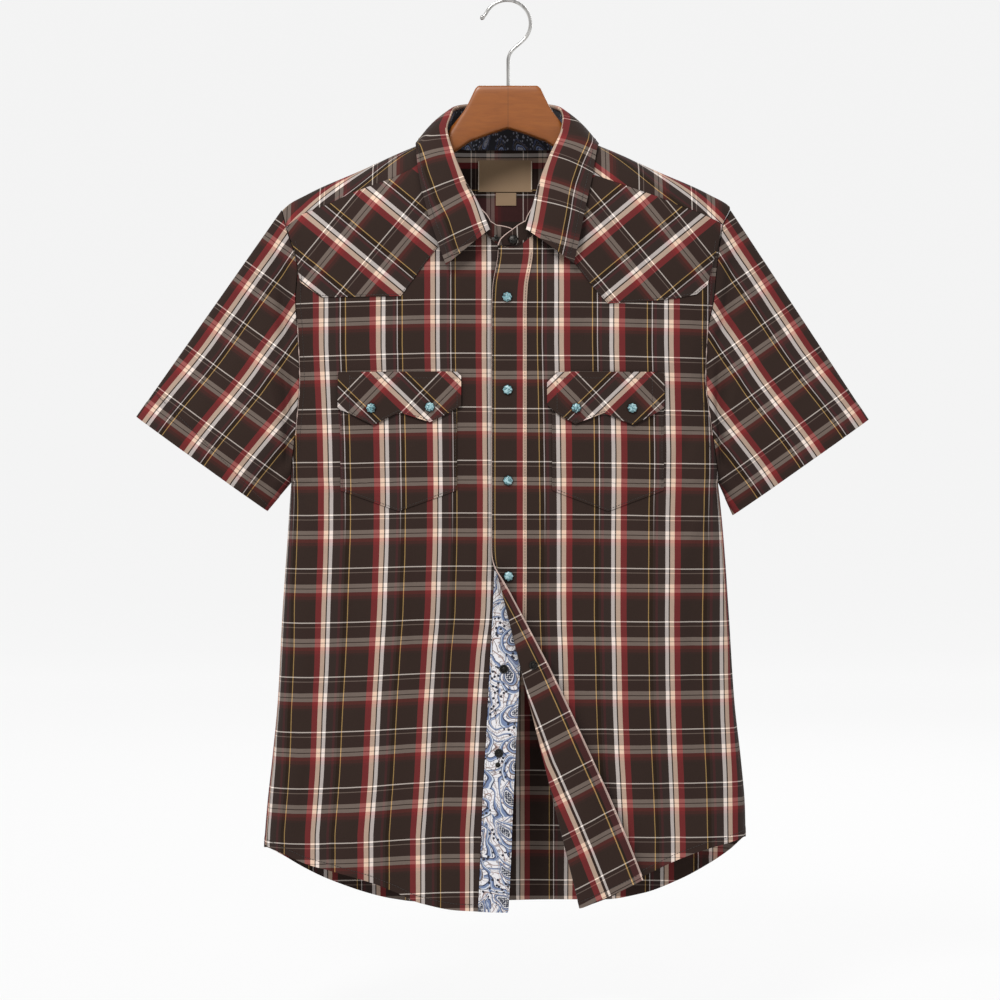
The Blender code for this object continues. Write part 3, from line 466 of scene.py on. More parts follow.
# The plaid, as shares of its repeat: a yarn's colour (sRGB, 0 to 255), and how far the weft shows through
# a warp stripe or how strongly a weft stripe shows. Warp stripes run down a straight-cut panel, and weft
# stripes lie across it, from a white line downward.
REPEAT = 55.0
CREAM = 0.197  # middle of the warp's cream stripe
GROUND = (60, 44, 37)
WARP = (
    (0.0, (144, 53, 54), 0.65),
    (0.112, (236, 206, 183), 1.0),
    (0.192, (62, 50, 40), 1.0),
    (0.217, (243, 233, 227), 1.0),
    (0.282, (62, 49, 44), 1.0),
    (0.42, (84, 46, 46), 1.0),
    (0.465, GROUND, 1.0),
    (0.493, (226, 216, 213), 1.0),
    (0.51, (46, 30, 14), 0.9),
    (0.583, (206, 168, 104), 0.7),
    (0.6, GROUND, 1.0),
)
WEFT = (
    (0.0, (236, 226, 216), 1.0),
    (0.018, (60, 45, 42), 0.3),
    (0.083, (231, 212, 197), 0.22),
    (0.098, (66, 46, 43), 0.3),
    (0.3, (231, 214, 200), 0.3),
    (0.372, (46, 34, 28), 0.3),
    (0.39, (231, 214, 200), 0.3),
    (0.457, (154, 56, 54), 0.3),
    (0.52, (114, 50, 48), 0.3),
    (0.58, (76, 46, 42), 0.3),
    (0.62, GROUND, 0.3),
)
# The wrong side of the left front's edge, from the free edge inward
INSIDE_WIDTH = 80.0
INSIDE_WARP = (
    (0.0, (222, 196, 184), 1.0),
    (0.016, (88, 44, 44), 1.0),
    (0.1, (46, 36, 28), 0.9),
    (0.132, (206, 168, 104), 0.7),
    (0.147, GROUND, 1.0),
    (0.456, (243, 233, 227), 1.0),
    (0.5, (62, 50, 40), 1.0),
    (0.518, (236, 206, 183), 1.0),
    (0.573, (144, 53, 54), 0.65),
    (0.65, GROUND, 1.0),
    (0.925, (206, 168, 104), 0.7),
    (0.94, (46, 36, 28), 0.9),
)
INSIDE_CREAM = 42.6  # from the free edge to the middle of the cream stripe, on the cloth
#   z    the same as it shows
INSIDE_REACH = ((-650, 29), (-735, 37), (-790, 42), (-935, 43))
THREADS = (160, 160, 1)  # of the cloth in one repeat
WARP_SHOWS = 0.56
WEFT_SHOWS = 0.55
LINE_AT = 0.5015  # the thin white line
LINE_HALF = 0.016
LINE_ENDS = (3.2, 4.6)  # in the weft's repeats, where it fades toward the fronts' hems
WANDER = 0.008  # how far the stripes stray from straight lines
CROSSING = 0.5  # extra brightness where two light yarns cross

# Where the warp lies on each front: x of one cream stripe's middle, and the repeat, at several heights
#   z     x       repeat
GRAIN_R = (
    (-359, -189.6, 55.8),
    (-467, -185.5, 54.7),
    (-538, -184.5, 54.5),
    (-626, -187, 54.7),
    (-682, -188.6, 53.3),
    (-733, -191.1, 52.9),
    (-790, -193.2, 52.5),
    (-861, -198.3, 52.7),
)
GRAIN_L = (
    (-359, 52.1, 56.5),
    (-467, 54.1, 56.6),
    (-538, 54.6, 55.9),
    (-626, 54.5, 55.6),
    (-682, 56.1, 54.9),
    (-733, 57.5, 54.6),
    (-790, 60, 54.5),
    (-861, 65.5, 53),
)
WARP_SLIP = 3.3  # how far the right front's middle stripes lie toward its inner edge
WARP_STRETCH = 2.3  # the same for the left front's last stripe, toward the side
WEFT_TOP = -316.1  # a white weft line on the fronts
WEFT_REPEAT = 54.85
# How far the weft hangs below a level line
#   z    right side  right edge  left edge  left side
WEFT_SAG = (
    (-336, -1, -4, -1, 0.8),
    (-446, -1.4, -3.5, -2, 0.2),
    (-556, -1.9, -4.8, -3, -1.1),
    (-665, -0.3, -5.3, -3.5, -2.2),
    (-775, 3, -4.8, -2.6, -1.5),
    (-830, 6, -3, -2.6, -0.8),
    (-886, 7, -0.4, -3, 0),
)
SAG_ACROSS = (60, 220)
AT_SIDE = 190
# x of a cream stripe and the warp's repeat, z of a weft line and its repeat
BACK_CUT = (13, 50.7, -825.1, 58)
BACK_WEFT = 0.38  # place in the weft's repeat at that line and on the yoke
# On the yoke the warp runs along the shoulders: how far behind the shoulder line a cream stripe lies, how
# steeply it slants over the front, from which height, and how far back it is level
YOKE_WARP = (15.8, 0.79, -195.5, 90)
YOKE_WEFT = 173.8
ARCH_WIDTH = 34  # cloth that lies over the shoulder's top, unseen from the front
ARCH_TURNS = (-0.5, 0.9)
# The same inside, measured from the shoulder line's top; below a level the pattern is drawn together
YOKE_INSIDE = (39.8, 18.1)
INSIDE_LEVEL = 80
DRAWN_TOGETHER = 0.9
# On a sleeve: how far a cream stripe lies from its top line at the cuff and more at the armhole, how far
# up that is reached, and the repeat; then the same of a weft line from the cuff
SLEEVE_WARP = (12.9, 5.8, 110, 53.9)
SLEEVE_WEFT = (38.3, 53.2)
# On the collar: part of the roll line's length that holds no whole repeat, and where the first one starts
COLLAR_REST = 42
COLLAR_WEFT = (10.5, 54)
# Painted shade: this place puts the stand's outside wholly in the plaid's dark ground, which stands in for
# the shade under the collar's leaves.
STAND_PLACE = 0.93  # in the warp's repeat, at the stand's foot
STAND_PRINT = 3.4  # scale of the stand's print
FACING_PRINT_SIZE = 30
LABEL_WEAVE_SIZE = 10
# Prints: the ground, rings of a teardrop from its middle outward and strokes beside it (position, colour,
# cover), then the colours of the thin scrolls and of the beads
FACING_PRINT = (
    (214, 212, 214),
    (
        (0.0, (40, 46, 62), 1.0),
        (0.22, (214, 212, 214), 1.0),
        (0.255, (52, 62, 92), 1.0),
        (0.3, (122, 136, 164), 1.0),
        (0.35, (92, 78, 74), 1.0),
        (0.385, (214, 212, 214), 0.0),
        (0.5, (44, 52, 78), 1.0),
        (0.535, (104, 120, 152), 1.0),
        (0.6, (190, 196, 206), 1.0),
        (0.635, (60, 66, 84), 1.0),
        (0.66, (214, 212, 214), 0.0),
        (0.82, (112, 96, 90), 1.0),
        (0.85, (214, 212, 214), 0.0),
    ),
    (
        (0.0, (40, 48, 72), 1.0),
        (0.05, (96, 112, 146), 1.0),
        (0.16, (160, 170, 190), 1.0),
        (0.22, (52, 62, 90), 1.0),
        (0.25, (214, 210, 212), 0.0),
        (0.6, (104, 84, 80), 1.0),
        (0.64, (176, 156, 152), 1.0),
        (0.69, (214, 210, 212), 0.0),
    ),
    (120, 104, 102),
    (28, 31, 46),
)
STAND_PRINT_INKS = (
    (20, 20, 28),
    (
        (0.0, (150, 152, 164), 1.0),
        (0.2, (34, 44, 84), 1.0),
        (0.245, (120, 134, 170), 1.0),
        (0.3, (20, 22, 36), 1.0),
        (0.36, (88, 80, 78), 1.0),
        (0.395, (20, 20, 28), 0.0),
        (0.5, (62, 74, 112), 1.0),
        (0.53, (22, 24, 34), 1.0),
    ),
    (
        (0.0, (40, 58, 110), 1.0),
        (0.06, (110, 124, 158), 1.0),
        (0.12, (20, 20, 28), 0.0),
        (0.6, (120, 112, 112), 1.0),
        (0.65, (20, 20, 28), 0.0),
    ),
    (84, 80, 84),
    (140, 144, 160),
)
POCKET_SLIP_R = (0.9, 1.5)  # how far the pocket's own cut lies beside and below the front's
POCKET_SLIP_L = (0, 1)
PLACKET_PHASE = 25.6  # from the placket's edge to where its red stripe starts
#   Cuts on the bias: angle of the warp stripes below the horizontal, a point on a cream stripe's middle,
#   a point on a white weft line, and the repeats across the two
YOKE_CUT = (39.9, (-170.7, -252.3), (-146.7, -272.2), 57.5, 52.4)
FLAP_CUT = (44.0, (-135.6, -386.3), (-148.2, -387.8), 53.8, 55.8)


def knots_of(table, column):
    rows = sorted(table)
    return (np.array([row[k] for row in rows], float) for k in (0, column))


def smooth_curve(table, column=1):
    """A curve through one column of a table against its first, with no overshoot."""
    knots, values = knots_of(table, column)
    step = np.diff(knots)
    slope = np.diff(values) / step
    tangent = np.concatenate([slope[:1], 0 * slope[1:], slope[-1:]])
    for i in range(1, len(slope)):
        if slope[i - 1] * slope[i] > 0:
            tangent[i] = 2 / (1 / slope[i - 1] + 1 / slope[i])

    def at(x):
        x = np.clip(x, knots[0], knots[-1])
        i = np.clip(np.searchsorted(knots, x, side="right") - 1, 0, len(step) - 1)
        s = (x - knots[i]) / step[i]
        return (
            values[i] * (1 + 2 * s) * (1 - s) ** 2
            + tangent[i] * step[i] * s * (1 - s) ** 2
            + values[i + 1] * s * s * (3 - 2 * s)
            + tangent[i + 1] * step[i] * s * s * (s - 1)
        )

    return at


def straight_curve(table, column=1):
    knots, values = knots_of(table, column)
    return lambda x: np.interp(x, knots, values)


def ease(x, start, end):
    """0 before start, 1 after end, smooth between them."""
    s = np.clip((np.asarray(x, float) - start) / (end - start), 0, 1)
    return s * s * (3 - 2 * s)


minus_edge, plus_edge = (smooth_curve(SIDE_EDGES, k) for k in (1, 2))
front_depth, back_depth = (smooth_curve(DEPTHS, k) for k in (1, 2))
front_hem, back_hem = (smooth_curve(HEM, k) for k in (1, 2))
over_edge, under_edge = (smooth_curve(FRONT_EDGES, k) for k in (1, 2))
front_top = straight_curve(FRONT_TOP)
half_line = smooth_curve(SHOULDER_LINE)


def shoulder_line(x):
    return half_line(np.abs(x))


def side_edge(share, z):
    return np.where(share < 0, -minus_edge(z), plus_edge(z))


def body_top(x):
    return front_top(x) - SEAM


def oval(share, bend):
    """Height of a quarter oval: 0 where share is 0 and 1 where it is 1 or more."""
    return (1 - (1 - np.clip(share, 0, 1)) ** bend) ** (1 / bend)


def arm_depth(drop, z):
    """Half of the sleeve's depth at the armhole."""
    half = (SHOULDER_Z - ARMPIT_Z) / 2
    return ARM_DEPTH * oval(drop / half, ARM_BEND) * oval((z - ARMPIT_Z) / half, ARM_BEND)


def section(across, z):
    """1 in the middle of the body and 0 at its side edge. The edge is rounder below the armpit."""
    reach = 0.965 + 0.035 * (1 - ease(z, ARMPIT_Z, ARMPIT_Z + 60))
    curve = (1 - (across * reach) ** BODY_BEND) ** (1 / BODY_BEND)
    at_edge = (1 - reach**BODY_BEND) ** (1 / BODY_BEND)
    return (curve - at_edge) / (1 - at_edge)


def folds(table, x, z):
    """Depth that the soft folds of a table add at a point."""
    total = np.zeros_like(x * z)
    for x0, z0, x1, z1, width, height in table:
        length = math.hypot(x1 - x0, z1 - z0)
        along = ((x - x0) * (x1 - x0) + (z - z0) * (z1 - z0)) / length**2
        beside = ((x - x0) * (z1 - z0) - (z - z0) * (x1 - x0)) / length
        fade = ease(along, -0.15, 0.3) * (1 - ease(along, 0.75, 1.15))
        total = total + height * fade * np.exp(-((beside / width) ** 2))
    return total


def body_depth(x, z, middle, fold_table):
    """Distance of the body's cloth from the plane of the hanger."""
    centre = (minus_edge(z) + plus_edge(z)) / 2
    half = (plus_edge(z) - minus_edge(z)) / 2
    across = np.clip(np.abs(x - centre) / half, 0, 1)
    drop = np.clip(shoulder_line(x) - z, 0, None)
    arm = arm_depth(drop, z)
    deep = middle * np.sqrt(1 - (1 - np.clip(drop / SHOULDER_ARCH, 0, 1)) ** 2)
    share = section(across, z)
    return SIDE_GAP + arm + (deep - arm) * share + folds(fold_table, x, z) * share


def relief(soft, creases):
    """Rows of a fold table: the soft folds and the deepened creases."""
    return soft + tuple((*row[:5], row[5] * CREASE_GAIN) for row in creases)


FRONT_RELIEF = relief(FRONT_FOLDS, FRONT_CREASES)
BACK_RELIEF = relief(BACK_FOLDS, BACK_CREASES)


def front(x, z):
    return np.stack([x, -body_depth(x, z, front_depth(z), FRONT_RELIEF), z], -1)


def back(x, z):
    return np.stack([x, body_depth(x, z, back_depth(z), BACK_RELIEF), z], -1)


def under_front(x, z):
    """The right front, which drops behind the left one where they overlap."""
    points = front(x, z)
    points[..., 1] += UNDER_DROP * ease(x, OVERLAP_FROM, OVERLAP_FULL)
    return points


def past_fold(x, z):
    """How far a point of the left front, as cut, lies beyond the fold and down along it."""
    run = FOLD_FOOT[0] - FOLD_TOP[0]
    fall = FOLD_FOOT[1] - FOLD_TOP[1]
    length = math.hypot(run, fall)
    down = ((x - FOLD_TOP[0]) * run + (z - FOLD_TOP[1]) * fall) / length
    past = ((x - FOLD_TOP[0]) * fall - (z - FOLD_TOP[1]) * run) / length + FOLD_RADIUS
    return past, down, run / length, fall / length


def over_front(x, z):
    """The left front, with the corner beyond the fold line turned back over it."""
    past, down, along_x, along_z = past_fold(x, z)
    angle = math.pi * ease(down, -10, FOLD_EASE)
    bent = np.clip(past, 0, angle * FOLD_RADIUS)
    flat = np.clip(past - angle * FOLD_RADIUS, 0, None)
    turn = bent / FOLD_RADIUS
    moved = FOLD_RADIUS * np.sin(turn) + flat * np.cos(angle)
    raised = FOLD_RADIUS * (1 - np.cos(turn)) + flat * np.sin(angle)
    shift = np.where(past > 0, moved - past, 0)
    lift = np.where(past > 0, raised, 0)
    points = front(x + shift * along_z, z - shift * along_x)
    points[..., 1] -= lift
    return points


def shoulder(x, behind):
    """A point on the yoke: x, and its distance below the shoulder line, negative at the front."""
    z = shoulder_line(x) - np.abs(behind)
    deep = np.where(
        behind < 0,
        -body_depth(x, z, front_depth(z), FRONT_FOLDS),
        body_depth(x, z, back_depth(z), BACK_FOLDS),
    )
    return np.stack([x, np.where(np.abs(behind) < 1e-6, 0, deep), z], -1)


def lifted(surface, a, b, distance):
    """Points of a surface moved along its normal, which points out of the fronts and into the back."""
    a, b, distance = np.broadcast_arrays(np.asarray(a, float), b, distance)
    step = 0.5
    across = surface(a + step, b) - surface(a - step, b)
    up = surface(a, b + step) - surface(a, b - step)
    return surface(a, b) + unit(np.cross(across, up)) * np.expand_dims(distance, -1)


def unit(vectors):
    return vectors / np.maximum(np.linalg.norm(vectors, axis=-1, keepdims=True), 1e-9)


def run_of(points):
    """How far each point lies along the line through them."""
    return np.concatenate([[0], np.cumsum(np.linalg.norm(np.diff(points, axis=0), axis=1))])


def evenly(start, end, step=GRID):
    """Shares from 0 to 1 for a stretch of this length."""
    return np.linspace(0, 1, max(2, round(abs(end - start) / step) + 1))


def settled(side, edge, share, top, foot, down):
    """x and z of a front's grid: rows run from the top edge to the hem, columns from side to edge."""
    x = side(-240) * (1 - share) + edge(-240) * share + 0 * down
    for _ in range(6):
        high = top(x[:1])
        low = foot(x[-1:])
        z = high + (low - high) * down
        x = side(z) * (1 - share) + edge(z) * share
    return x, z


# ---- Materials ----


def linear(color):
    """An sRGB colour from 0 to 255, as the shaders take it."""
    return tuple(((c / 255 + 0.055) / 1.055) ** 2.4 if c > 10 else c / 255 / 12.92 for c in color)


def paint(color, alpha=1):
    return (*linear(color), alpha)


class Finish:
    """A material under construction: a Principled shader and short ways to add nodes to it."""

    def __init__(self, name, on_cloth=False, **settings):
        self.made = bpy.data.materials.new(name)
        self.made.use_nodes = True
        self.tree = self.made.node_tree
        self.shader = self.tree.nodes["Principled BSDF"]
        for key, value in settings.items():
            self.shader.inputs[key.replace("_", " ")].default_value = value
        if on_cloth:
            self.place = self.node("UVMap", uv_map="plaid").outputs[0]
        else:
            self.place = self.node("TexCoord").outputs["Object"]

    def plug(self, socket, value):
        if isinstance(value, bpy.types.NodeSocket):
            self.tree.links.new(value, socket)
        else:
            socket.default_value = value

    def node(self, kind, inputs=(), **settings):
        made = self.tree.nodes.new(f"ShaderNode{kind}")
        for key, value in settings.items():
            setattr(made, key, value)
        for key, value in dict(inputs).items():
            self.plug(made.inputs[key], value)
        return made

    def math(self, operation, *values):
        return self.node("Math", dict(enumerate(values)), operation=operation).outputs[0]

    def times(self, first, second):
        return self.math("MULTIPLY", first, second)

    def plus(self, first, second):
        return self.math("ADD", first, second)

    def scaled(self, value, factor, offset):
        return self.math("MULTIPLY_ADD", value, factor, offset)

    def fract(self, value):
        return self.math("FRACT", value)

    def below(self, value, limit):
        return self.math("LESS_THAN", value, limit)

    def above(self, value, limit):
        return self.math("GREATER_THAN", value, limit)

    def vector(self, operation, *values):
        return self.node("VectorMath", dict(enumerate(values)), operation=operation).outputs[0]

    def mix(self, share, first, second, blend="MIX"):
        made = self.node("Mix", {0: share, 6: first, 7: second}, data_type="RGBA", blend_type=blend)
        return made.outputs[2]

    def noise(self, scale, detail=2.0, stretch=None, distortion=0.0, place=None):
        place = place or self.place
        if stretch:
            place = self.node("Mapping", {"Vector": place, "Scale": stretch}).outputs[0]
        inputs = {"Vector": place, "Scale": scale, "Detail": detail, "Distortion": distortion}
        return self.node("TexNoise", inputs).outputs["Fac"]

    def cells(self, scale, randomness=1.0, place=None, dimensions="2D"):
        inputs = {"Vector": place or self.place, "Scale": scale, "Randomness": randomness}
        return self.node("TexVoronoi", inputs, voronoi_dimensions=dimensions).outputs

    def ramp(self, value, stops, steps=True):
        """stops are (position, sRGB colour, alpha)."""
        made = self.node("ValToRGB", {"Fac": value})
        made.color_ramp.interpolation = "CONSTANT" if steps else "LINEAR"
        elements = made.color_ramp.elements
        while len(elements) < len(stops):
            elements.new(1.0)
        for element, (position, color, alpha) in zip(elements, stops):
            element.position = position
            element.color = paint(color, alpha)
        return made.outputs["Color"], made.outputs["Alpha"]

    def painted_crease_shade(self, share):
        """Painted shade: a factor below 1 from ambient occlusion, in creases and under edges, that darkens
        the colour.
        """
        lit = self.node("AmbientOcclusion", {"Distance": 0.022}, samples=3).outputs["AO"]
        return self.scaled(lit, share, 1 - share)

    def bump(self, height, distance, strength):
        made = self.node("Bump", {"Height": height, "Distance": distance, "Strength": strength})
        self.plug(self.shader.inputs["Normal"], made.outputs[0])

    def color(self, value, shade=None):
        if shade:
            value = self.mix(1.0, value, shade, "MULTIPLY")
        self.plug(self.shader.inputs["Base Color"], value)


def make_plaid(name, stripes):
    finish = Finish(name, True, Roughness=0.86, Sheen_Weight=0.03, Specular_IOR_Level=0.15)
    parts = finish.node("SeparateXYZ", {0: finish.place})
    wander = finish.noise(3.0, stretch=(0.8, 0.8, 1))
    across, down = (finish.scaled(wander, WANDER, parts.outputs[k]) for k in (0, 1))
    warp, weft_passes = finish.ramp(finish.fract(across), stripes)
    line = finish.math("COMPARE", finish.fract(across), LINE_AT, LINE_HALF)
    low = finish.node("MapRange", {0: down, 1: LINE_ENDS[0], 2: LINE_ENDS[1]}).outputs[0]
    warp = finish.mix(finish.times(line, low), warp, paint(GROUND))
    weft, weft_strength = finish.ramp(finish.fract(down), WEFT)
    strength = finish.times(finish.times(weft_strength, WEFT_SHOWS), weft_passes)
    gain = finish.vector("MULTIPLY_ADD", warp, (CROSSING,) * 3, strength)
    below = finish.vector("MULTIPLY", weft, gain)
    cloth = finish.vector("MULTIPLY_ADD", warp, (WARP_SHOWS,) * 3, below)
    warp_slub, weft_slub, wear = (
        finish.noise(1.0, stretch=size) for size in ((150, 5, 1), (5, 150, 1), (1.1, 0.6, 1))
    )
    slub = finish.plus(warp_slub, weft_slub)
    shade = finish.scaled(finish.plus(slub, wear), 0.16, 0.48)
    # Painted shade: ambient occlusion darkens the colour in creases, under the collar's leaves and along the
    # edges of flaps and pockets.
    finish.color(cloth, finish.times(shade, finish.painted_crease_shade(0.72)))
    threads = finish.noise(1.0, 1.0, THREADS)
    finish.bump(finish.plus(threads, slub), 0.00012, 0.5)
    return finish.made


def make_paisley(name, ground, inks, strokes, scroll, beads):
    """Curled teardrops ringed with lines and beads, with scroll lines between them, on a plain ground."""
    finish = Finish(name, True, Roughness=0.8, Sheen_Weight=0.1)
    drift = finish.node("TexNoise", {"Vector": finish.place, "Scale": 1.6, "Detail": 1.0}).outputs["Color"]
    flowing = finish.vector("MULTIPLY_ADD", drift, (0.35, 0.35, 0), finish.place)
    cell = finish.cells(0.9, 0.55, flowing)
    local = finish.vector("SUBTRACT", flowing, cell["Position"])
    hue = finish.node("SeparateColor", {0: cell["Color"]})
    angle = finish.scaled(hue.outputs[0], 2.4, -1.2)
    turned = finish.node("VectorRotate", {"Vector": local, "Angle": angle}, rotation_type="Z_AXIS")
    parts = finish.node("SeparateXYZ", {0: turned.outputs[0]}).outputs
    along = finish.math("DIVIDE", parts[1], 0.5)
    tail = finish.plus(along, 0.5)
    bend = finish.times(finish.times(tail, tail), -0.1)
    width = finish.scaled(finish.node("Clamp", {0: along, 1: -1.0, 2: 1.0}).outputs[0], -0.16, 0.23)
    across = finish.math("DIVIDE", finish.plus(parts[0], bend), width)
    radius = finish.math("SQRT", finish.plus(finish.times(across, across), finish.times(along, along)))
    color, cover = finish.ramp(finish.times(radius, 0.45), inks)
    scales = finish.cells(15.0, 0.4, dimensions="3D")["Distance"]
    core = finish.times(finish.below(radius, 0.5), finish.above(scales, 0.55))
    sweep = finish.noise(0.8, 0.6, place=flowing)
    stroke, stroke_cover = finish.ramp(finish.fract(finish.times(sweep, 9.0)), strokes)
    contour = finish.fract(finish.times(finish.noise(2.1, 1.5, place=flowing), 9.0))
    drawn = finish.below(contour, 0.2)
    cloth = finish.mix(finish.times(drawn, 0.7), paint(ground), paint(scroll))
    cloth = finish.mix(finish.times(stroke_cover, finish.above(radius, 0.9)), cloth, stroke)
    cloth = finish.mix(cover, cloth, color)
    cloth = finish.mix(finish.times(core, 0.7), cloth, paint(ground))
    dots = finish.cells(5.5)["Distance"]
    grouped = finish.above(finish.noise(1.3, 0.0), 0.52)
    outside = finish.above(radius, 1.15)
    dot = finish.times(finish.below(dots, 0.24), grouped)
    cloth = finish.mix(finish.times(dot, outside), cloth, paint(beads))
    # Painted shade: ambient occlusion darkens the print in creases and under the overlapping front's edge.
    finish.color(cloth, finish.painted_crease_shade(0.6))
    finish.bump(finish.noise(1.0, 1.0, THREADS), 0.0001, 0.4)
    return finish.made


def make_woven(name, color):
    finish = Finish(name, True, Roughness=0.75, Sheen_Weight=0.15)
    wave = {"Vector": finish.place, "Scale": 12.0, "Distortion": 0.6, "Detail": 1.0}
    ribs = finish.node("TexWave", wave, bands_direction="Y").outputs["Fac"]
    fleck = finish.noise(1.0, stretch=(60, 16, 1))
    finish.color(paint(color), finish.scaled(finish.plus(ribs, fleck), 0.25, 0.75))
    finish.bump(ribs, 0.00015, 0.6)
    return finish.made


def make_thread(name, color):
    finish = Finish(name, Roughness=0.7, Sheen_Weight=0.2)
    finish.color(paint(color), finish.scaled(finish.noise(900.0), 0.6, 0.7))
    return finish.made


def make_wood():
    finish = Finish("wood", Roughness=0.42, Coat_Weight=0.12, Coat_Roughness=0.25)
    grain = finish.noise(2.0, 5.0, (14, 60, 70), 1.5)
    pores = finish.noise(1.0, stretch=(90, 900, 1400))
    color, _ = finish.ramp(
        grain, ((0.3, (127, 67, 14), 1), (0.5, (133, 72, 17), 1), (0.7, (139, 77, 21), 1)), False
    )
    parts = finish.node("SeparateXYZ", {0: finish.place}).outputs
    joint = finish.below(finish.math("ABSOLUTE", parts[0]), 0.0004)
    dark = finish.scaled(pores, 0.24, 0.86)
    finish.color(color, finish.scaled(joint, -0.28, dark))
    finish.bump(pores, 0.00006, 0.3)
    return finish.made


def make_speckled(name, colors, bump, marks, **settings):
    """A material whose colour and height follow one noise. colors are (noise, sRGB colour)."""
    finish = Finish(name, **settings)
    speckles = finish.noise(*marks)
    color, _ = finish.ramp(speckles, [(at, color, 1) for at, color in colors], False)
    finish.color(color)
    finish.bump(speckles, *bump)
    return finish.made


# ---- Meshes ----


def linked(name, mesh, finishes):
    made = bpy.data.objects.new(name, mesh)
    bpy.context.scene.collection.objects.link(made)
    for finish in finishes:
        mesh.materials.append(finish)
    return made


def dress(made, slot, *nodes):
    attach(made, "root")
    if nodes:
        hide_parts(*nodes)
    return made


def closed(points):
    """A ring's points with its first column again after the last."""
    return np.concatenate([points, points[:, :1]], 1)


def normals(points, ring):
    """Unit normals of a grid of points: column direction cross row direction."""
    if ring:
        across = np.gradient(np.concatenate([points[:, -1:], closed(points)], 1), axis=1)[:, 1:-1]
    else:
        across = np.gradient(points, axis=1)
    return unit(np.cross(across, np.gradient(points, axis=0)))


def shell(name, points, uv, finishes, out=1, thickness=SHEET, ring=False, inner_uv=None, inner_from=0):
    """A thin wall of cloth through rows of points in mm. out is the side that faces out, by the grid's
    normals. ring joins the last column to the first, and then uv has one more column. inner_uv and the
    last finish are for the inner side, from one column on."""
    rows, columns = points.shape[:2]
    count = rows * columns
    half = normals(points, ring) * out * np.expand_dims(thickness / 2 + np.zeros((rows, columns)), -1)
    corners = np.concatenate([(points + half).reshape(-1, 3), (points - half).reshape(-1, 3)])
    i, j = np.meshgrid(np.arange(rows - 1), np.arange(columns if ring else columns - 1), indexing="ij")
    around = [(i, j), (i, j + 1), (i + 1, j + 1), (i + 1, j)]

    def by_face(table):
        return np.stack([table[a, b] for a, b in around], -2).reshape(-1, 4, 2)

    quad = np.stack([a * columns + b % columns for a, b in around], -1).reshape(-1, 4)
    quad_uv = back_uv = by_face(uv)
    inner = (j >= inner_from).ravel()
    if inner_uv is not None:
        back_uv = np.where(inner[:, None, None], by_face(inner_uv), quad_uv)
    last, end = rows - 1, columns if ring else columns - 1
    top = [(0, k) for k in range(end + 1)]
    foot = [(last, k) for k in range(end, -1, -1)]
    if ring:
        loops = [top, foot]
    else:
        loops = [top + [(k, end) for k in range(1, last)] + foot + [(k, 0) for k in range(last - 1, -1, -1)]]
    rim, rim_uv = [], []
    for loop in loops:
        for (a, b), (c, d) in zip(loop, loop[1:]):
            first, second = a * columns + b % columns, c * columns + d % columns
            rim.append((second, first, first + count, second + count))
            rim_uv.append((uv[c, d], uv[a, b], uv[a, b], uv[c, d]))
    faces = np.concatenate([quad, quad[:, ::-1] + count, np.array(rim)])
    face_uv = np.concatenate([quad_uv, back_uv[:, ::-1], np.array(rim_uv)])
    if out < 0:
        faces, face_uv = faces[:, ::-1], face_uv[:, ::-1]
    made = merged(name, corners * MM, faces.tolist(), finishes, 55)
    made.data.uv_layers.new(name="plaid").data.foreach_set("uv", face_uv.astype(np.float32).ravel())
    if len(finishes) > 1:
        index = np.zeros(len(faces), np.int32)
        index[len(quad) : 2 * len(quad)] = inner
        made.data.polygons.foreach_set("material_index", index)
    return made


def cloth(node, points, uv, finishes, rests_on=("hanger",), name=None, slot="plaid", **form):
    """A shell in the place of a solid, which it hides."""
    made = shell((name or node) + "_cloth", points, uv, finishes, **form)
    dress(made, slot, node)
    return points


def merged(name, corners, faces, finishes, sharp=40):
    mesh = bpy.data.meshes.new(name)
    mesh.from_pydata(corners, [], faces)
    mesh.shade_smooth()
    mesh.set_sharp_from_angle(angle=math.radians(sharp))
    return linked(name, mesh, finishes)


def ring_faces(rings, steps, ends=2):
    """Faces between closed rings of points, over the first ring and over the last."""
    faces = []
    for i in range(rings - 1):
        for k in range(steps):
            n = (k + 1) % steps
            faces.append((i * steps + k, i * steps + n, (i + 1) * steps + n, (i + 1) * steps + k))
    over = [tuple(range(steps))[::-1], tuple((rings - 1) * steps + k for k in range(steps))]
    return faces + over[:ends]


# ---- How each piece is cut from the plaid ----


def straight_v(x, z, side=-1):
    """side is 1 on the right front and -1 elsewhere."""
    near, far = (smooth_curve(WEFT_SAG, k)(z) for k in ((2, 1) if side > 0 else (3, 4)))
    sag = near + (far - near) * ease(np.abs(x), *SAG_ACROSS)
    return (WEFT_TOP - z - sag) / WEFT_REPEAT


def unrolled(points, x, home):
    """x, with the cloth that turns away from the viewer at the sides laid out flat from one column on."""
    step = np.abs(np.diff(points, axis=1))
    wide, deep = step[..., 0], step[..., 1]
    steep = np.clip(deep / np.maximum(wide, 1e-6) - 0.5, 0, 1) * (np.abs(x[:, 1:]) > AT_SIDE)
    run = np.cumsum((np.hypot(wide, deep) - wide) * steep, 1)
    run = np.concatenate([0 * run[:, :1], run], 1)
    return x + (run - run[:, [home]]) * np.sign(x[:, -1:] - x[:, :1])


def cut_front(table, x, z, side):
    start = smooth_curve(table, 1)(z)
    repeat = smooth_curve(table, 2)(z)
    return np.stack([CREAM + side * (x - start) / repeat, straight_v(x, z, side)], -1)


def cut_r(x, z):
    slip = WARP_SLIP * ease(x, -182, -132) * (1 - ease(x, -76, -28))
    return cut_front(GRAIN_R, x - slip, z, 1)


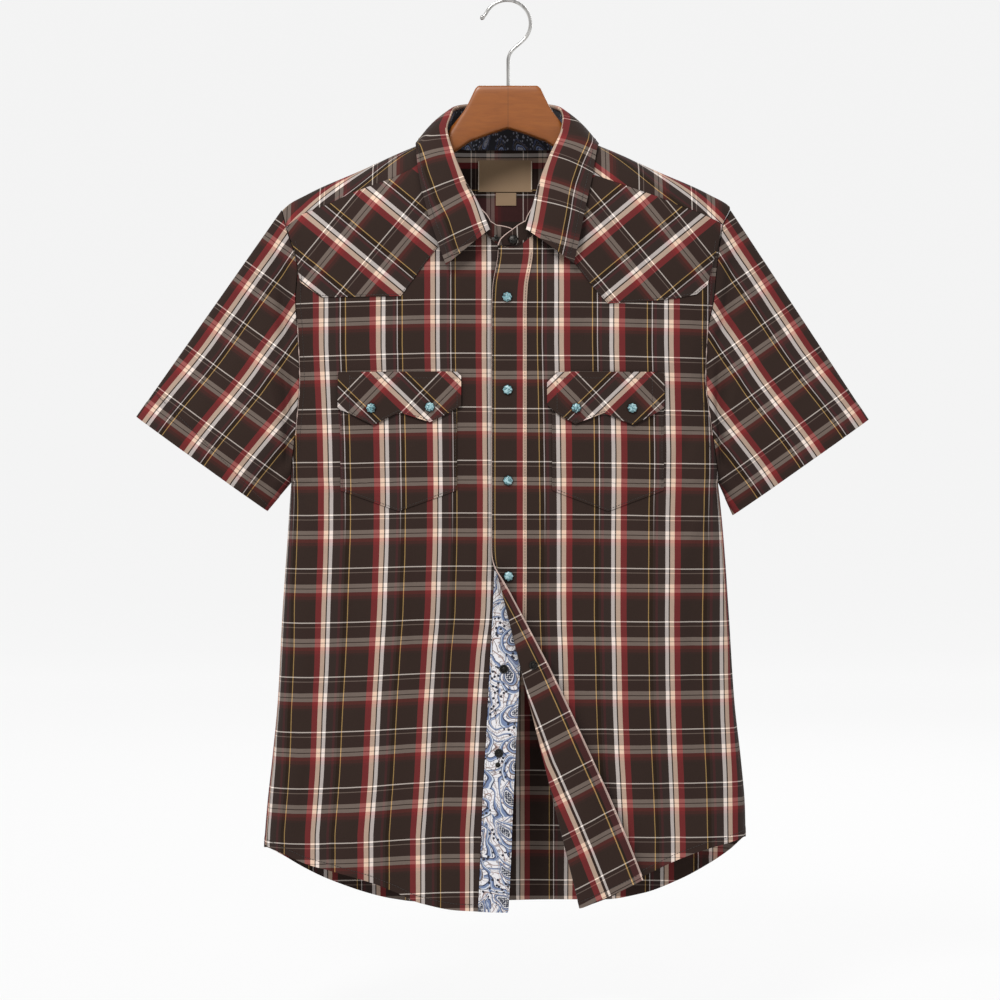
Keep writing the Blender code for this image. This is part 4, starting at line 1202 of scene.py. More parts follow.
def cut_l(x, z):
    return cut_front(GRAIN_L, x - WARP_STRETCH * ease(x, 180, 225), z, -1)


def cut_placket(x, z):
    u = (x - over_edge(z) - PLACKET_PHASE) / REPEAT
    return np.stack([u, straight_v(x, z)], -1)


def cut_inside(x, z):
    """The wrong side of the left front's edge, measured from the free edge."""
    reach = straight_curve(INSIDE_REACH)(z)
    distance = (x - over_edge(z)) * INSIDE_CREAM / reach
    return np.stack([distance / INSIDE_WIDTH, straight_v(x, z)], -1)


def cut_back(x, z):
    cream, across, line, down = BACK_CUT
    return np.stack([CREAM - (x - cream) / across, BACK_WEFT + (line - z) / down], -1)


def cut_back_yoke(x, behind):
    cream, slope, level_z, level_at = YOKE_WARP
    slant = slope * (1 - ease(behind, 0, level_at)) * (shoulder_line(x) - level_z)
    over_top = ARCH_WIDTH * ease(arch_turn(behind), *ARCH_TURNS)
    u = CREAM - (behind + over_top + cream - slant) / REPEAT
    return np.stack([u, (x + YOKE_WEFT) / WEFT_REPEAT + BACK_WEFT], -1)


def cut_yoke_inside(x, behind):
    cream, line = YOKE_INSIDE
    level = shoulder_line(0) - shoulder_line(x) + behind
    level = level - DRAWN_TOGETHER * np.maximum(level - INSIDE_LEVEL, 0)
    return np.stack([CREAM - (level - cream) / REPEAT, (x + line) / WEFT_REPEAT + BACK_WEFT], -1)


def cut_bias(cut, side, x, z):
    angle, cream, line, across, down = cut
    s, c = math.sin(math.radians(angle)), math.cos(math.radians(angle))
    x = x * side
    u = CREAM + ((x - cream[0]) * s + (z - cream[1]) * c) / across
    v = ((x - line[0]) * c - (z - line[1]) * s) / down
    return np.stack([u, v], -1)


# ---- Pieces of cloth ----


def hemmed(above_edge, width=HEM_WIDTH):
    """Thickness of a wall whose edge is turned in."""
    return SHEET + HEM_STEP * (1 - ease(above_edge, width - 0.4, width + 1.0))


def make_front_r(plaid):
    down = evenly(-200, -940)[:, None]
    across = evenly(minus_edge(-500), 17)[None, :]
    x, z = settled(minus_edge, under_edge, across, body_top, front_hem, down)
    points = under_front(x, z)
    uv = cut_r(unrolled(points, x, -1), z)
    cloth("front_r", points, uv, [plaid], out=-1, thickness=hemmed(z - front_hem(x)))


def make_front_l(plaid, inner_plaid):
    slope = (FOLD_FOOT[0] - FOLD_TOP[0]) / (FOLD_TOP[1] - FOLD_FOOT[1])
    wide = math.hypot(1, slope)
    bend = (math.pi * FOLD_RADIUS + 1.0) * wide

    def beside_fold(z, back, least):
        fold = FOLD_TOP[0] + slope * (FOLD_TOP[1] - z) + FOLD_RADIUS * wide
        return np.maximum(fold - back, over_edge(z) + least)

    bend_start = lambda z: beside_fold(z, 0, 9)
    bend_end = lambda z: beside_fold(z, bend, 4)
    down = evenly(-200, -940, 3.5)[:, None]
    parts = [
        settled(side, edge, share[None, :], body_top, front_hem, down)
        for side, edge, share in (
            (plus_edge, bend_start, np.linspace(0, 1, 56)),
            (bend_start, bend_end, np.linspace(0, 1, 13)[1:]),
            (bend_end, over_edge, np.linspace(0, 1, 21)[1:]),
        )
    ]
    x, z = (np.concatenate(part, 1) for part in zip(*parts))
    points = over_front(x, z)
    uv = cut_l(unrolled(points, x, 40), z)
    thick = hemmed(z - front_hem(x))
    inside = dict(inner_uv=cut_inside(x, z), inner_from=55)
    cloth("front_l", points, uv, [plaid, inner_plaid], thickness=thick, **inside)


def make_back(plaid):
    bow = 1.25
    across = np.sin(np.linspace(-bow, bow, 121))[None, :] / math.sin(bow)
    foot = back_hem(across * plus_edge(-865))
    top = YOKE_BACK_Z - 0.5
    z = top + (foot - top) * evenly(-300, -940)[:, None]
    x = across * side_edge(across, z)
    points = back(x, z)
    cloth("back", points, cut_back(unrolled(points, x, 60), z), [plaid], thickness=hemmed(z - back_hem(x)))


def over_arch(turn):
    """Distance behind the shoulder line for an angle over its arch, straight down past a quarter turn."""
    flat = np.clip(np.abs(turn) - math.pi / 2, 0, None)
    round_part = 1 - np.cos(np.clip(np.abs(turn), 0, math.pi / 2))
    return np.sign(turn) * SHOULDER_ARCH * (round_part + flat)


def arch_turn(behind):
    share = np.abs(behind) / SHOULDER_ARCH
    turn = np.arccos(1 - np.clip(share, 0, 1)) + np.clip(share - 1, 0, None)
    return np.sign(behind) * turn


def make_back_yoke(plaid):
    half = np.concatenate([np.linspace(1, 0.318, 44), np.linspace(0.312, 0.28, 8), np.linspace(0.27, 0, 16)])
    across = np.concatenate([-half, half[-2::-1]])[None, :]
    forward = np.abs(across) > YOKE_FORWARD
    x_end = across * 230
    for _ in range(8):
        seam_z = front_top(x_end) + SEAM
        x_end = across * np.where(forward, side_edge(across, seam_z), side_edge(across, SHOULDER_Z))
    neck = straight_curve(YOKE_NECK)(x_end)
    end = arch_turn(np.where(forward, seam_z - shoulder_line(x_end), neck))
    middle = np.where(end < 0, 0, end + 0.5)
    rows = np.concatenate([np.linspace(0, 1, 44), np.linspace(1, 2, 20)[1:]])[:, None]
    x = across * 222 + 0 * rows
    for _ in range(8):
        start = arch_turn(shoulder_line(x) - YOKE_BACK_Z)
        turn = start + (middle - start) * np.clip(rows, 0, 1)
        turn = turn + (end - middle) * np.clip(rows - 1, 0, 1)
        behind = over_arch(turn)
        x = across * side_edge(across, shoulder_line(x) - np.abs(behind))
    inside = cut_yoke_inside(x, behind)
    cloth("back_yoke", shoulder(x, behind), cut_back_yoke(x, behind), [plaid], out=-1, inner_uv=inside)


def columns_at(knots, step):
    """A row of places that holds a piece's corners, with more between them."""
    x = np.unique(np.concatenate([knots, np.arange(min(knots), max(knots), step)]))
    return x[np.concatenate([[True], np.diff(x) > 0.4])][None, :]


def make_front_yoke(name, surface, lower, side, plaid):
    ends = lower[0][0], lower[-1][0]
    upper = [row[0] for row in FRONT_TOP if ends[0] < row[0] < ends[1]]
    x = columns_at([row[0] for row in lower] + upper, 3.5)
    top = body_top(x)
    z = top + (straight_curve(lower)(x) - top) * np.linspace(0, 1, 30)[:, None]
    x = np.clip(x, minus_edge(z) + 1.0, plus_edge(z) - 1.0)
    cloth(name, lifted(surface, x, z, LIFT), cut_bias(YOKE_CUT, side, x, z), [plaid], out=-1)


def make_sleeve(name, edge, cuff, plaid):
    turn = np.linspace(-math.pi, math.pi, 121)[None, :]
    around = turn[:, :-1]
    down = evenly(0, 240)[:, None]
    part = down[..., None]
    height = np.sign(np.cos(around)) * np.abs(np.cos(around)) ** (2 / SLEEVE_BEND)
    face = np.sign(np.sin(around))
    thick = face * np.abs(np.sin(around)) ** (2 / SLEEVE_BEND)
    (top_x, top_z), (low_x, low_z) = cuff
    outward = math.copysign(1, top_x)
    z = (SHOULDER_Z + ARMPIT_Z) / 2 + (SHOULDER_Z - ARMPIT_Z) / 2 * height
    x = edge(z) + outward * (ARM_GAP + SHEET / 2)
    depth = arm_depth(np.clip(SHOULDER_Z - z, 0, None), z) + SIDE_GAP
    root = np.stack([x, face * depth, z], -1)
    end_x, end_z = ((top + low) / 2 + (top - low) / 2 * height for top, low in zip(*cuff))
    points = root * (1 - part) + np.stack([end_x, CUFF_DEPTH * thick, end_z], -1) * part
    points[..., 1] += SLEEVE_SWELL * thick * np.sin(math.pi * down) * np.cos(3 * height + 0.8)
    share = (around + math.pi) / (2 * math.pi)
    for place, start, finish, width, tall in SLEEVE_CREASES:
        fade = ease(down, start - 0.1, start + 0.2) * (1 - ease(down, finish - 0.25, finish + 0.1))
        near = np.exp(-(((share - place) / width) ** 2)) * np.abs(thick)
        points[..., 1] += np.where(share < 0.5, -1, 1) * SLEEVE_CREASE_GAIN * tall * fade * near
    for start, wide, deep, from_height, to_height in SLEEVE_TROUGHS:
        near = np.exp(-(((down - start) / wide) ** 2)) * ease(down, 0, start)
        level = ease(height, from_height - 0.3, from_height) * (1 - ease(height, to_height, to_height + 0.3))
        points[..., 1] -= deep * near * level * thick
    cuff_point = np.array([top_x, 0, top_z])
    along_cuff = unit(np.array([top_x - low_x, 0, top_z - low_z]))
    top_line = unit(cuff_point - np.array([edge(SHOULDER_Z), 0, SHOULDER_Z]))
    outer, fall = (np.array([line[2], 0, -line[0]]) * outward for line in (along_cuff, top_line))
    distance = ((closed(points) - cuff_point) * fall).sum(-1)
    to_cuff = ((cuff_point - closed(points)) * unit(outer)).sum(-1)
    cream, more, reach, across = SLEEVE_WARP
    u = CREAM + (np.where(turn < 0, 1, -1) * distance - cream - more * ease(to_cuff, 0, reach)) / across
    uv = np.stack([u, -(to_cuff - SLEEVE_WEFT[0]) / SLEEVE_WEFT[1]], -1)
    return cloth(name, points, uv, [plaid], thickness=hemmed(to_cuff[:, :-1], CUFF_HEM), ring=True)


def make_pocket(name, sides, surface, cut, slip, plaid):
    x = np.linspace(*sides, 33)[None, :]
    middle, half = (sides[0] + sides[1]) / 2, (sides[1] - sides[0]) / 2
    foot = POCKET_POINT + (POCKET_SIDE_FOOT - POCKET_POINT) * np.abs(x - middle) / half
    z = POCKET_TOP + (foot - POCKET_TOP) * np.linspace(0, 1, 34)[:, None]
    x = x + 0 * z
    uv = cut(x - slip[0], z + slip[1])
    cloth(name, lifted(surface, x, z, LIFT), uv, [plaid], ["front_" + name[-1]], out=-1)


def make_flap(name, outline, surface, side, plaid):
    lower, upper = (straight_curve(outline, k) for k in (1, 2))
    x = columns_at([row[0] for row in outline], 2.5)
    z = upper(x) + (lower(x) - upper(x)) * np.linspace(0, 1, 20)[:, None]
    x = x + 0 * z
    points, uv = lifted(surface, x, z, flap_height(z)), cut_bias(FLAP_CUT, side, x, z)
    cloth(name, points, uv, [plaid], ["front_" + name[-1]], out=-1, thickness=FLAP_THICKNESS)


def make_strip(node, slot, surface, sides, top, finish, cut, rests_on):
    share = np.linspace(0, 1, 13)[None, :]
    x, z = settled(*sides, share, top, front_hem, evenly(-250, -940, 3.5)[:, None])
    cloth(node, lifted(surface, x, z, LIFT), cut(x, z), [finish], [rests_on], slot=slot, out=-1)


def along(points, count):
    """Evenly spread points on a smooth curve through a few."""
    points = np.array(points, float)
    run = run_of(points)
    at = np.linspace(0, run[-1], count)
    return np.stack([smooth_curve(list(zip(run, column)))(at) for column in points.T], -1)


def stations(rows, start=0):
    """Rows of the collar's tables, each with the place of its neck seam: where the stand meets the shirt."""
    made = []
    for number, (roll, edge, seat) in enumerate(rows, start):
        surface = front if number < FRONT_STATIONS else shoulder
        made.append((*roll, *edge, *(surface(*map(float, seat)) + np.array([0, 0, 1.2]))))
    return made


def collar_lines(count):
    """The roll line, the free edge and the neck seam, directions up out of the fold and outward, and how
    far the free edge lies across and along from the roll line."""
    middle = stations([COLLAR_BACK], FRONT_STATIONS)
    lines = along(stations(COLLAR_R) + middle + stations(COLLAR_L)[::-1], count)
    roll, edge, seat = lines[:, :3], lines[:, 3:6], lines[:, 6:]
    tangent = unit(np.gradient(roll, axis=0))
    slant = ((edge - roll) * tangent).sum(1)
    straight = edge - roll - slant[:, None] * tangent
    fall = unit(straight)
    reach = np.linalg.norm(straight, axis=1), slant
    return roll, edge, seat, -fall, unit(np.cross(tangent, fall)), reach


def rest_on_shirt(points, clear, weight):
    """Moves points that would lie in the shirt out to this distance from its cloth."""
    x, y, z = points.T
    deep_front = body_depth(x, z, front_depth(z), FRONT_FOLDS) + clear
    deep_back = body_depth(x, z, back_depth(z), BACK_FOLDS) + clear
    below = ease(shoulder_line(x) - z, -2, 6) * weight
    out_y = np.where(y < 0, np.minimum(y, -deep_front), np.maximum(y, deep_back))
    return np.stack([x, y + (out_y - y) * below, z], -1)


def make_collar(plaid):
    roll, edge, _, up, out, (wide, slant) = collar_lines(COLLAR_COLUMNS)
    centre = roll - up * COLLAR_TURN
    rows = [centre - out * COLLAR_TURN - up * COLLAR_LAP]
    across = [-COLLAR_LAP - COLLAR_TURN * math.pi / 2]
    for degrees in (-90, -60, -30, 0, 30, 60):
        angle = math.radians(degrees)
        rows.append(centre + (up * math.cos(angle) + out * math.sin(angle)) * COLLAR_TURN)
        across.append(COLLAR_TURN * angle)
    start = centre + out * COLLAR_TURN
    shares = np.linspace(0, 1, 20)
    for share in shares:
        row = start + (edge - start) * share + out * COLLAR_BULGE * math.sin(math.pi * share)
        rows.append(rest_on_shirt(row, 3.4, float(ease(share, 0, 0.6))))
    share = np.concatenate([np.zeros(len(across)), shares])[:, None]
    across = np.concatenate([across, np.full(len(shares), COLLAR_TURN)])[:, None] + share * wide
    run = run_of(roll)
    whole = run[-1] - COLLAR_REST
    repeats = round(whole / COLLAR_WEFT[1])
    v = repeats - (run + share * slant - COLLAR_WEFT[0]) / whole * repeats
    u = np.maximum(straight_curve(COLLAR_CUT)(roll[:, 2]) - across / REPEAT, COLLAR_LAST)
    uv, like = np.stack([u, v], -1), dict(name="collar", thickness=TURNED_EDGE)
    return cloth("collar_fall", np.array(rows), uv, [plaid], ["collar_stand"], **like)


def stand_lines():
    """The stand's lower and upper edges: tab under, round the neck, tab over."""
    roll, _, seat, up, out, _ = collar_lines(COLLAR_COLUMNS)
    inner = roll - up * COLLAR_TURN - out * COLLAR_TURN
    high = inner - up * (COLLAR_LAP + 0.4)
    peek, rise = (size * ease(-high[:, 2], start, end) for size, start, end in (STAND_PEEK, STAND_RISE))
    high = high + np.stack([-np.sign(high[:, 0]) * peek, 0 * peek, rise], -1)
    inward = -unit(seat * np.array([1, 1, 0]))
    tucked = 1 - ease(-seat[:, 2], 190, 215)
    seat = seat + (inward * STAND_TUCK[1] - np.array([0, 0, STAND_TUCK[0]])) * tucked[:, None]

    def tab(rows, drop):
        low, top = [], []
        for low_x, low_z, top_x, top_z in rows:
            foot = front(np.array(float(low_x)), np.array(float(low_z)))
            low.append(foot + np.array([0, drop, 0.7]))
            top.append(np.array([top_x, foot[1] + drop - TAB_PROUD, top_z]))
        return np.array(low), np.array(top)

    under_low, under_high = tab(TAB_UNDER, UNDER_DROP)
    over_low, over_high = tab(TAB_OVER, 0)
    under_low, under_high = along(under_low, 14), along(under_high, 14)
    over_low, over_high = along(over_low, 16), along(over_high, 16)
    low = np.concatenate([under_low, seat, over_low])
    return low, np.concatenate([under_high, high, over_high])


def make_stand(plaid, lining):
    low, high = stand_lines()
    points = np.array([low + (high - low) * share for share in np.linspace(0, 1, 10)])
    v = run_of(low) / REPEAT + 0 * points[..., 0]
    foot_up, print_up = (np.linspace(0, height, 10)[:, None] / REPEAT for height in (13, 30))
    uv = np.stack([STAND_PLACE - foot_up + 0 * v, v], -1)
    print_uv = np.stack([print_up + 0 * v, v], -1) * STAND_PRINT
    like = dict(name="stand", out=-1, thickness=TURNED_EDGE, inner_uv=print_uv)
    cloth("collar_stand", points, uv, [plaid, lining], ["front_l", "front_r", "back_yoke"], **like)


def make_label(node, place, finish):
    centre, top, width, height = place
    x = centre + width * np.linspace(-0.5, 0.5, 25)[None, :]
    x, z = np.broadcast_arrays(x, top - height * np.linspace(0, 1, 17)[:, None])
    points, uv = lifted(back, x, z, ON_LABEL), np.stack([x, z], -1) / LABEL_WEAVE_SIZE
    cloth(node, points, uv, [finish], ["back_yoke"], slot="label", out=-1, thickness=0.5)


# ---- Stitches and edges ----


def tubes(rows, out, radii):
    """Corners (m) and faces of closed tubes through rows of points, each with a normal of the cloth."""
    across = unit(np.cross(unit(np.gradient(rows, axis=1)), out))
    angle = 2 * math.pi * np.arange(TUBE_SIDES)[:, None] / TUBE_SIDES
    spokes = across[:, :, None] * np.cos(angle) + out[:, :, None] * np.sin(angle)
    corners = rows[:, :, None] + spokes * np.asarray(radii)[..., None, None]
    count, sections = rows.shape[:2]
    tube, section, side = np.meshgrid(
        np.arange(count), np.arange(sections), np.arange(TUBE_SIDES), indexing="ij"
    )
    index = (tube * sections + section) * TUBE_SIDES + side
    beside = np.roll(index, -1, axis=2)
    walls = np.stack([index[:, :-1], index[:, 1:], beside[:, 1:], beside[:, :-1]], -1).reshape(-1, 4)
    ends = np.concatenate([index[:, 0], index[:, -1, ::-1]])
    return corners.reshape(-1, 3) * MM, walls.tolist() + ends.tolist()


def stitches(paths):
    """Rows of points for the stitches along paths, each given as points and normals."""
    rows, outs = [], []
    for points, out in paths:
        run = run_of(points)
        starts = np.arange(0.4, run[-1] - STITCH_LENGTH, STITCH_PITCH)
        at = starts[:, None] + STITCH_LENGTH * np.array(STITCH_SECTIONS)
        place, normal = (np.stack([np.interp(at, run, c) for c in a.T], -1) for a in (points, out))
        rows.append(place)
        outs.append(unit(normal))
    return np.concatenate(rows), np.concatenate(outs)


def on_cloth(surface, x, z, height):
    x, z, height = np.broadcast_arrays(np.asarray(x, float), z, height)
    points = lifted(surface, x, z, height)
    return points, unit(points - surface(x, z))


def run_through(corners):
    """x and z of closely spaced points along straight runs between corners."""
    corners = np.array(corners, float)
    run = run_of(corners)
    at = np.linspace(0, run[-1], round(run[-1] / 1.5))
    return tuple(np.interp(at, run, column) for column in corners.T)


def flap_height(z):
    return LIFT + (FLAP_LIFT - LIFT) * ease(FLAP_TOP - z, 0, FLAP_SEAM) + 0.5 * LIFT


def pocket_seam(sides, surface):
    left, right = sides[0] + EDGE_STITCH, sides[1] - EDGE_STITCH
    foot, point = POCKET_SIDE_FOOT + EDGE_STITCH, POCKET_POINT + EDGE_STITCH
    lower = ((left, foot), ((left + right) / 2, point), (right, foot))
    return on_cloth(surface, *run_through(((left, POCKET_TOP), *lower, (right, POCKET_TOP))), ON_PATCH)


def flap_seams(outline, surface):
    lower = [(x, z + EDGE_STITCH) for x, z, _ in outline[1:-1]]
    x, z = run_through([(lower[0][0], FLAP_TOP - 3)] + lower + [(lower[-1][0], FLAP_TOP - 3)])
    top_x = np.arange(outline[1][0], outline[-2][0], 2.0)
    top_z = FLAP_TOP - FLAP_SEAM / 2 + 0 * top_x
    return [on_cloth(surface, a, b, flap_height(b) + 0.6) for a, b in ((x, z), (top_x, top_z))]


def body_seams():
    """Every row of stitches on the body, the placket and what is sewn on the fronts."""
    seams = [pocket_seam(POCKET_R, under_front), pocket_seam(POCKET_L, front)]
    seams += flap_seams(FLAP_R, under_front) + flap_seams(FLAP_L, front)
    for lower, surface in ((YOKE_R_LOWER[2:], under_front), (YOKE_L_LOWER[:-2], front)):
        seams.append(on_cloth(surface, *run_through([(x, z + EDGE_STITCH) for x, z in lower]), ON_PATCH))
    down = np.arange(-264, -934, -2.5)
    for inset in (EDGE_STITCH, PLACKET_WIDTH - EDGE_STITCH):
        seams.append(on_cloth(over_front, over_edge(down) + inset, down, ON_PATCH))
    on_hem = ON_PANEL + HEM_STEP / 2
    for surface, hem, start, end, height in (
        (under_front, front_hem, -249, -2, on_hem),
        (over_front, front_hem, 2, 245, on_hem),
        (over_front, front_hem, 2, 80, -on_hem),
        (back, back_hem, -249, 245, -on_hem),
    ):
        x = np.arange(start, end, 2.0)
        seams.append(on_cloth(surface, x, hem(x) + HEM_WIDTH - 0.8, height))
    for edge, inward in ((minus_edge, ARMHOLE_STITCH), (plus_edge, -ARMHOLE_STITCH)):
        z = np.arange(-250, -480, -2.0)
        seams.append(on_cloth(front, edge(z) + inward, z, np.where(z > YOKE_BACK_Z - 6, ON_PATCH, ON_PANEL)))
        seams.append(on_cloth(back, edge(z) + inward, z, -ON_PANEL))
    x = np.arange(-212, 206, 2.0)
    yoke_back = lambda x, z: shoulder(x, shoulder_line(x) - z)
    seams.append(on_cloth(yoke_back, x, YOKE_BACK_Z + EDGE_STITCH, -ON_PANEL))
    return seams


def row_of(points, normal, rows, columns, height):
    path = points[rows, columns] + normal[rows, columns] * height
    return path, normal[rows, columns]


def collar_seam(points):
    """Around the collar's leaves, a little inside their free edge."""
    normal = normals(points, False)
    last_row, last = points.shape[0] - 3, points.shape[1] - 3
    rows = np.arange(9, last_row)
    down, up = np.full(len(rows), 2), np.full(len(rows), last)
    across = np.arange(2, last + 1)
    row = np.concatenate([rows, np.full(len(across), last_row), rows[::-1]])
    column = np.concatenate([down, across, up])
    return row_of(points, normal, row, column, 0.6)


def cuff_seam(points):
    row = round((len(points) - 1) * (1 - CUFF_HEM / SLEEVE_LENGTH))
    around = np.arange(points.shape[1] + 1) % points.shape[1]
    return row_of(points, normals(points, True), np.full(len(around), row), around, ON_PANEL + HEM_STEP / 2)


def make_stitches(collar, cuffs, dark, pale):
    z = np.arange(-560, -934, -2.5)
    insets = EDGE_STITCH, FACING_WIDTH - EDGE_STITCH
    on_facing = [on_cloth(under_front, under_edge(z) - inset, z, ON_PATCH) for inset in insets]
    on_shirt = body_seams() + [collar_seam(collar)] + [cuff_seam(points) for points in cuffs]
    for name, finish, paths in (("stitches", dark, on_shirt), ("pale_stitches", pale, on_facing)):
        dress(merged(name, *tubes(*stitches(paths), STITCH_RADII), [finish]), "plaid")


def make_edges(finish, label_finish):
    """Pale lines along the left front's free edge and the stand's top, the label's light stitched edges, and
    painted highlights along the sides below the armholes.
    """
    z = np.arange(-262, -938, -2.0)
    points, out = on_cloth(over_front, over_edge(z), z, LIFT / 2)
    lines = [(points, out, 0.5 + 0.35 * ease(-z, 560, 620))]
    low, high = stand_lines()
    for end in (slice(0, 34), slice(-36, None)):
        rim = high[end]
        lines.append((rim, unit(rim - low[end]), np.full(len(rim), 0.6)))
    # Painted highlights: pale lines where the body's sides turn away below the armholes.
    for edge in (minus_edge, plus_edge):
        z = np.arange(-335, -452, -2.0)
        points = front(edge(z), z)
        toward = unit(np.stack([np.sign(edge(z)), -1 + 0 * z, 0 * z], -1))
        lines.append((points, toward, 0.55 + 0.25 * np.sin(z / 7.0) * np.sin(z / 2.3)))
    for number, (points, out, radii) in enumerate(lines, 1):
        corners, faces = tubes(points[None], out[None], radii[None])
        dress(merged(f"edge_{number}", corners, faces, [finish]), "plaid")
    centre, top, width, height = LABEL
    for name, side in (("label_edge_1", -0.5), ("label_edge_2", 0.5)):
        z = np.arange(top - 1, top - height + 1, -2.0)
        points, out = on_cloth(back, centre + side * (width - 1.2), z, SHEET / 2 + 0.85)
        corners, faces = tubes(points[None], out[None], np.full((1, len(z)), 0.45))
        dress(merged(name, corners, faces, [label_finish]), "label")


# ---- Snaps, hanger and hook ----


def turned(profile, steps, lobes=0, depth=0.0):
    """Corners and faces of a solid of revolution about Z, its rim drawn in between lobes."""
    corners = []
    for radius, height in profile:
        for k in range(steps):
            angle = 2 * math.pi * k / steps
            r = radius * (1 - depth * (0.5 - 0.5 * math.cos(lobes * angle)))
            corners.append((r * MM * math.cos(angle), r * MM * math.sin(angle), height * MM))
    return corners, ring_faces(len(profile), steps)


def seated(name, foot, outward, corners, faces, finishes, indices):
    turn = Vector(outward).to_track_quat("Z", "Y").to_matrix()
    spun = [turn @ Vector(corner) + Vector(foot * MM) for corner in corners]
    made = merged(name, spun, faces, finishes)
    made.data.polygons.foreach_set("material_index", indices)
    return made


def snap_shape():
    """A dark eight-lobed base with a turquoise cap held in it."""
    base, base_faces = turned(SNAP_BASE, 64, SNAP_LOBES, 0.12)
    cap, cap_faces = turned(SNAP_CAP, 64, SNAP_LOBES, 0.13)
    faces = base_faces + [tuple(k + len(base) for k in face) for face in cap_faces]
    return base + cap, faces, [0] * len(base_faces) + [1] * len(cap_faces)


def metal_shape(profile):
    corners, faces = turned(profile, 40)
    return corners, faces, [0] * len(faces)


def place_on(surface, x, z, distance):
    foot = lifted(surface, x, z, distance)
    return foot, foot - surface(float(x), float(z))


def make_snaps(metal, turquoise):
    snap, stud = snap_shape(), metal_shape(STUD)
    capped = [metal, turquoise]

    def add(name, shape, foot, outward, slot, finishes, *nodes):
        dress(seated(name, foot, outward, shape[0], shape[1], finishes, shape[2]), slot, *nodes)

    def add_on(node, shape, surface, place, distance, slot, finishes):
        add(node + "_fine", shape, *place_on(surface, *place, distance), slot, finishes, node)

    on_strip = LIFT + SHEET / 2
    for number, place in enumerate(PLACKET_SNAPS, 1):
        add_on(f"snap_{number}", snap, over_front, place, on_strip, "snap_cap", capped)
    on_flap = FLAP_LIFT + 0.5 * LIFT + FLAP_THICKNESS / 2
    for side, places, surface in (("r", FLAP_SNAPS_R, under_front), ("l", FLAP_SNAPS_L, front)):
        for number, place in enumerate(places, 1):
            add_on(f"flap_snap_{side}{number}", snap, surface, place, on_flap, "snap_cap", capped)
    for number, place in enumerate(STUDS, 1):
        add_on(f"stud_{number}", stud, under_front, place, on_strip, "snap_metal", [metal])
    for node, shape, slot in (("snap_collar", snap, "snap_cap"), ("stud_collar", stud, "snap_metal")):
        low, high = (np.array(corner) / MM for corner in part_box(node))
        foot = np.array([(low[0] + high[0]) / 2, high[1] - 0.6, (low[2] + high[2]) / 2])
        # Painted shade: the collar snap's cap is turquoise, but it gets the dark metal finish because it lies
        # in the collar's shadow.
        finishes = [metal, metal] if slot == "snap_cap" else [metal]
        add(node + "_fine", shape, foot, COLLAR_SNAP_FACES, slot, finishes, node)
    add("print_ring", metal_shape(RING_SHAPE), *place_on(under_front, *RING, on_strip), "snap_metal", [metal])
    add_on("snap_back", stud, over_front, PLACKET_SNAPS[4], -SHEET / 2, "snap_metal", [metal])


def make_hanger(wood):
    top, foot, depth = (smooth_curve(HANGER, k) for k in (1, 2, 3))
    half = np.concatenate([np.linspace(0, 206, 104), np.linspace(207, 212, 6)])
    x = np.concatenate([-half[:0:-1], half])
    around = np.linspace(0, 2 * math.pi, 49)[:-1]
    corners = []
    for place in x:
        size = abs(place)
        middle, tall = (top(size) + foot(size)) / 2, (top(size) - foot(size)) / 2
        square = 0.3 + 0.7 * float(ease(size, *HANGER_ROUNDS))
        for angle in around:
            c, s = math.cos(angle), math.sin(angle)
            y = depth(size) * math.copysign(abs(c) ** square, c)
            z = middle + tall * math.copysign(abs(s) ** square, s)
            corners.append((place * MM, y * MM, z * MM))
    dress(merged("hanger_wood", corners, ring_faces(len(x), len(around)), [wood]), "wood", "hanger")


def make_hook(wire):
    centre_x, centre_z = HOOK_CENTRE
    path = list(HOOK_SHANK)
    for degrees in range(*HOOK_BOW, 12):
        angle = math.radians(degrees)
        path.append((centre_x + HOOK_RADIUS * math.cos(angle), centre_z + HOOK_RADIUS * math.sin(angle)))
    path += HOOK_TIP
    curve = bpy.data.curves.new("hook_wire", "CURVE")
    curve.dimensions = "3D"
    line = curve.splines.new("POLY")
    smooth = along([(x, 0, z) for x, z in path], 160)
    line.points.add(len(smooth) - 1)
    for point, place in zip(line.points, smooth):
        point.co = (*(place * MM), 1)
        near_end = np.linalg.norm(place - smooth[-1] - np.array([2.2, 0, 1.8]))
        ball = math.sqrt(max(HOOK_BALL**2 - near_end**2, 0)) / WIRE_RADIUS
        point.radius = max(1.0, ball) if near_end > 1.0 or ball > 1 else ball
    line.points[-1].radius = 0.5
    curve.bevel_depth = WIRE_RADIUS * MM
    curve.bevel_resolution = 5
    curve.use_fill_caps = True
    made = bpy.data.objects.new("hook_wire", curve)
    curve.materials.append(wire)
    bpy.context.scene.collection.objects.link(made)
    dress(made, "wire", "hook")


# ---- Camera, light and floor ----

# In metres
CAMERA_DISTANCE = 3.0
VIEW_WIDTH = 1.04  # width of the view at the plane of the hanger
VIEW_MIDDLE = (-0.00832, -0.51792)
FLOOR_Z = -1.06
FLOOR_RADIUS = 6
FLOOR_RISE = 3  # radius of the bend from floor to wall
WALL_TOP = 9
GLOW_SPAN = (-5.0, 0.0)  # from and to this depth the stage's glow rises
GLOW = (0.5, 0.855)
WORLD_LIGHT = 0.5
LIGHT_AIM = (0, 0, -0.5)
#   name  place  size  power
LIGHTS = (
    ("key", (-1.1, -2.5, 2.2), 1.1, 115),
    ("fill", (2.4, -2.6, 0.2), 2.0, 12),
    ("back", (0.5, 3.4, 1.2), 2.0, 40),
)


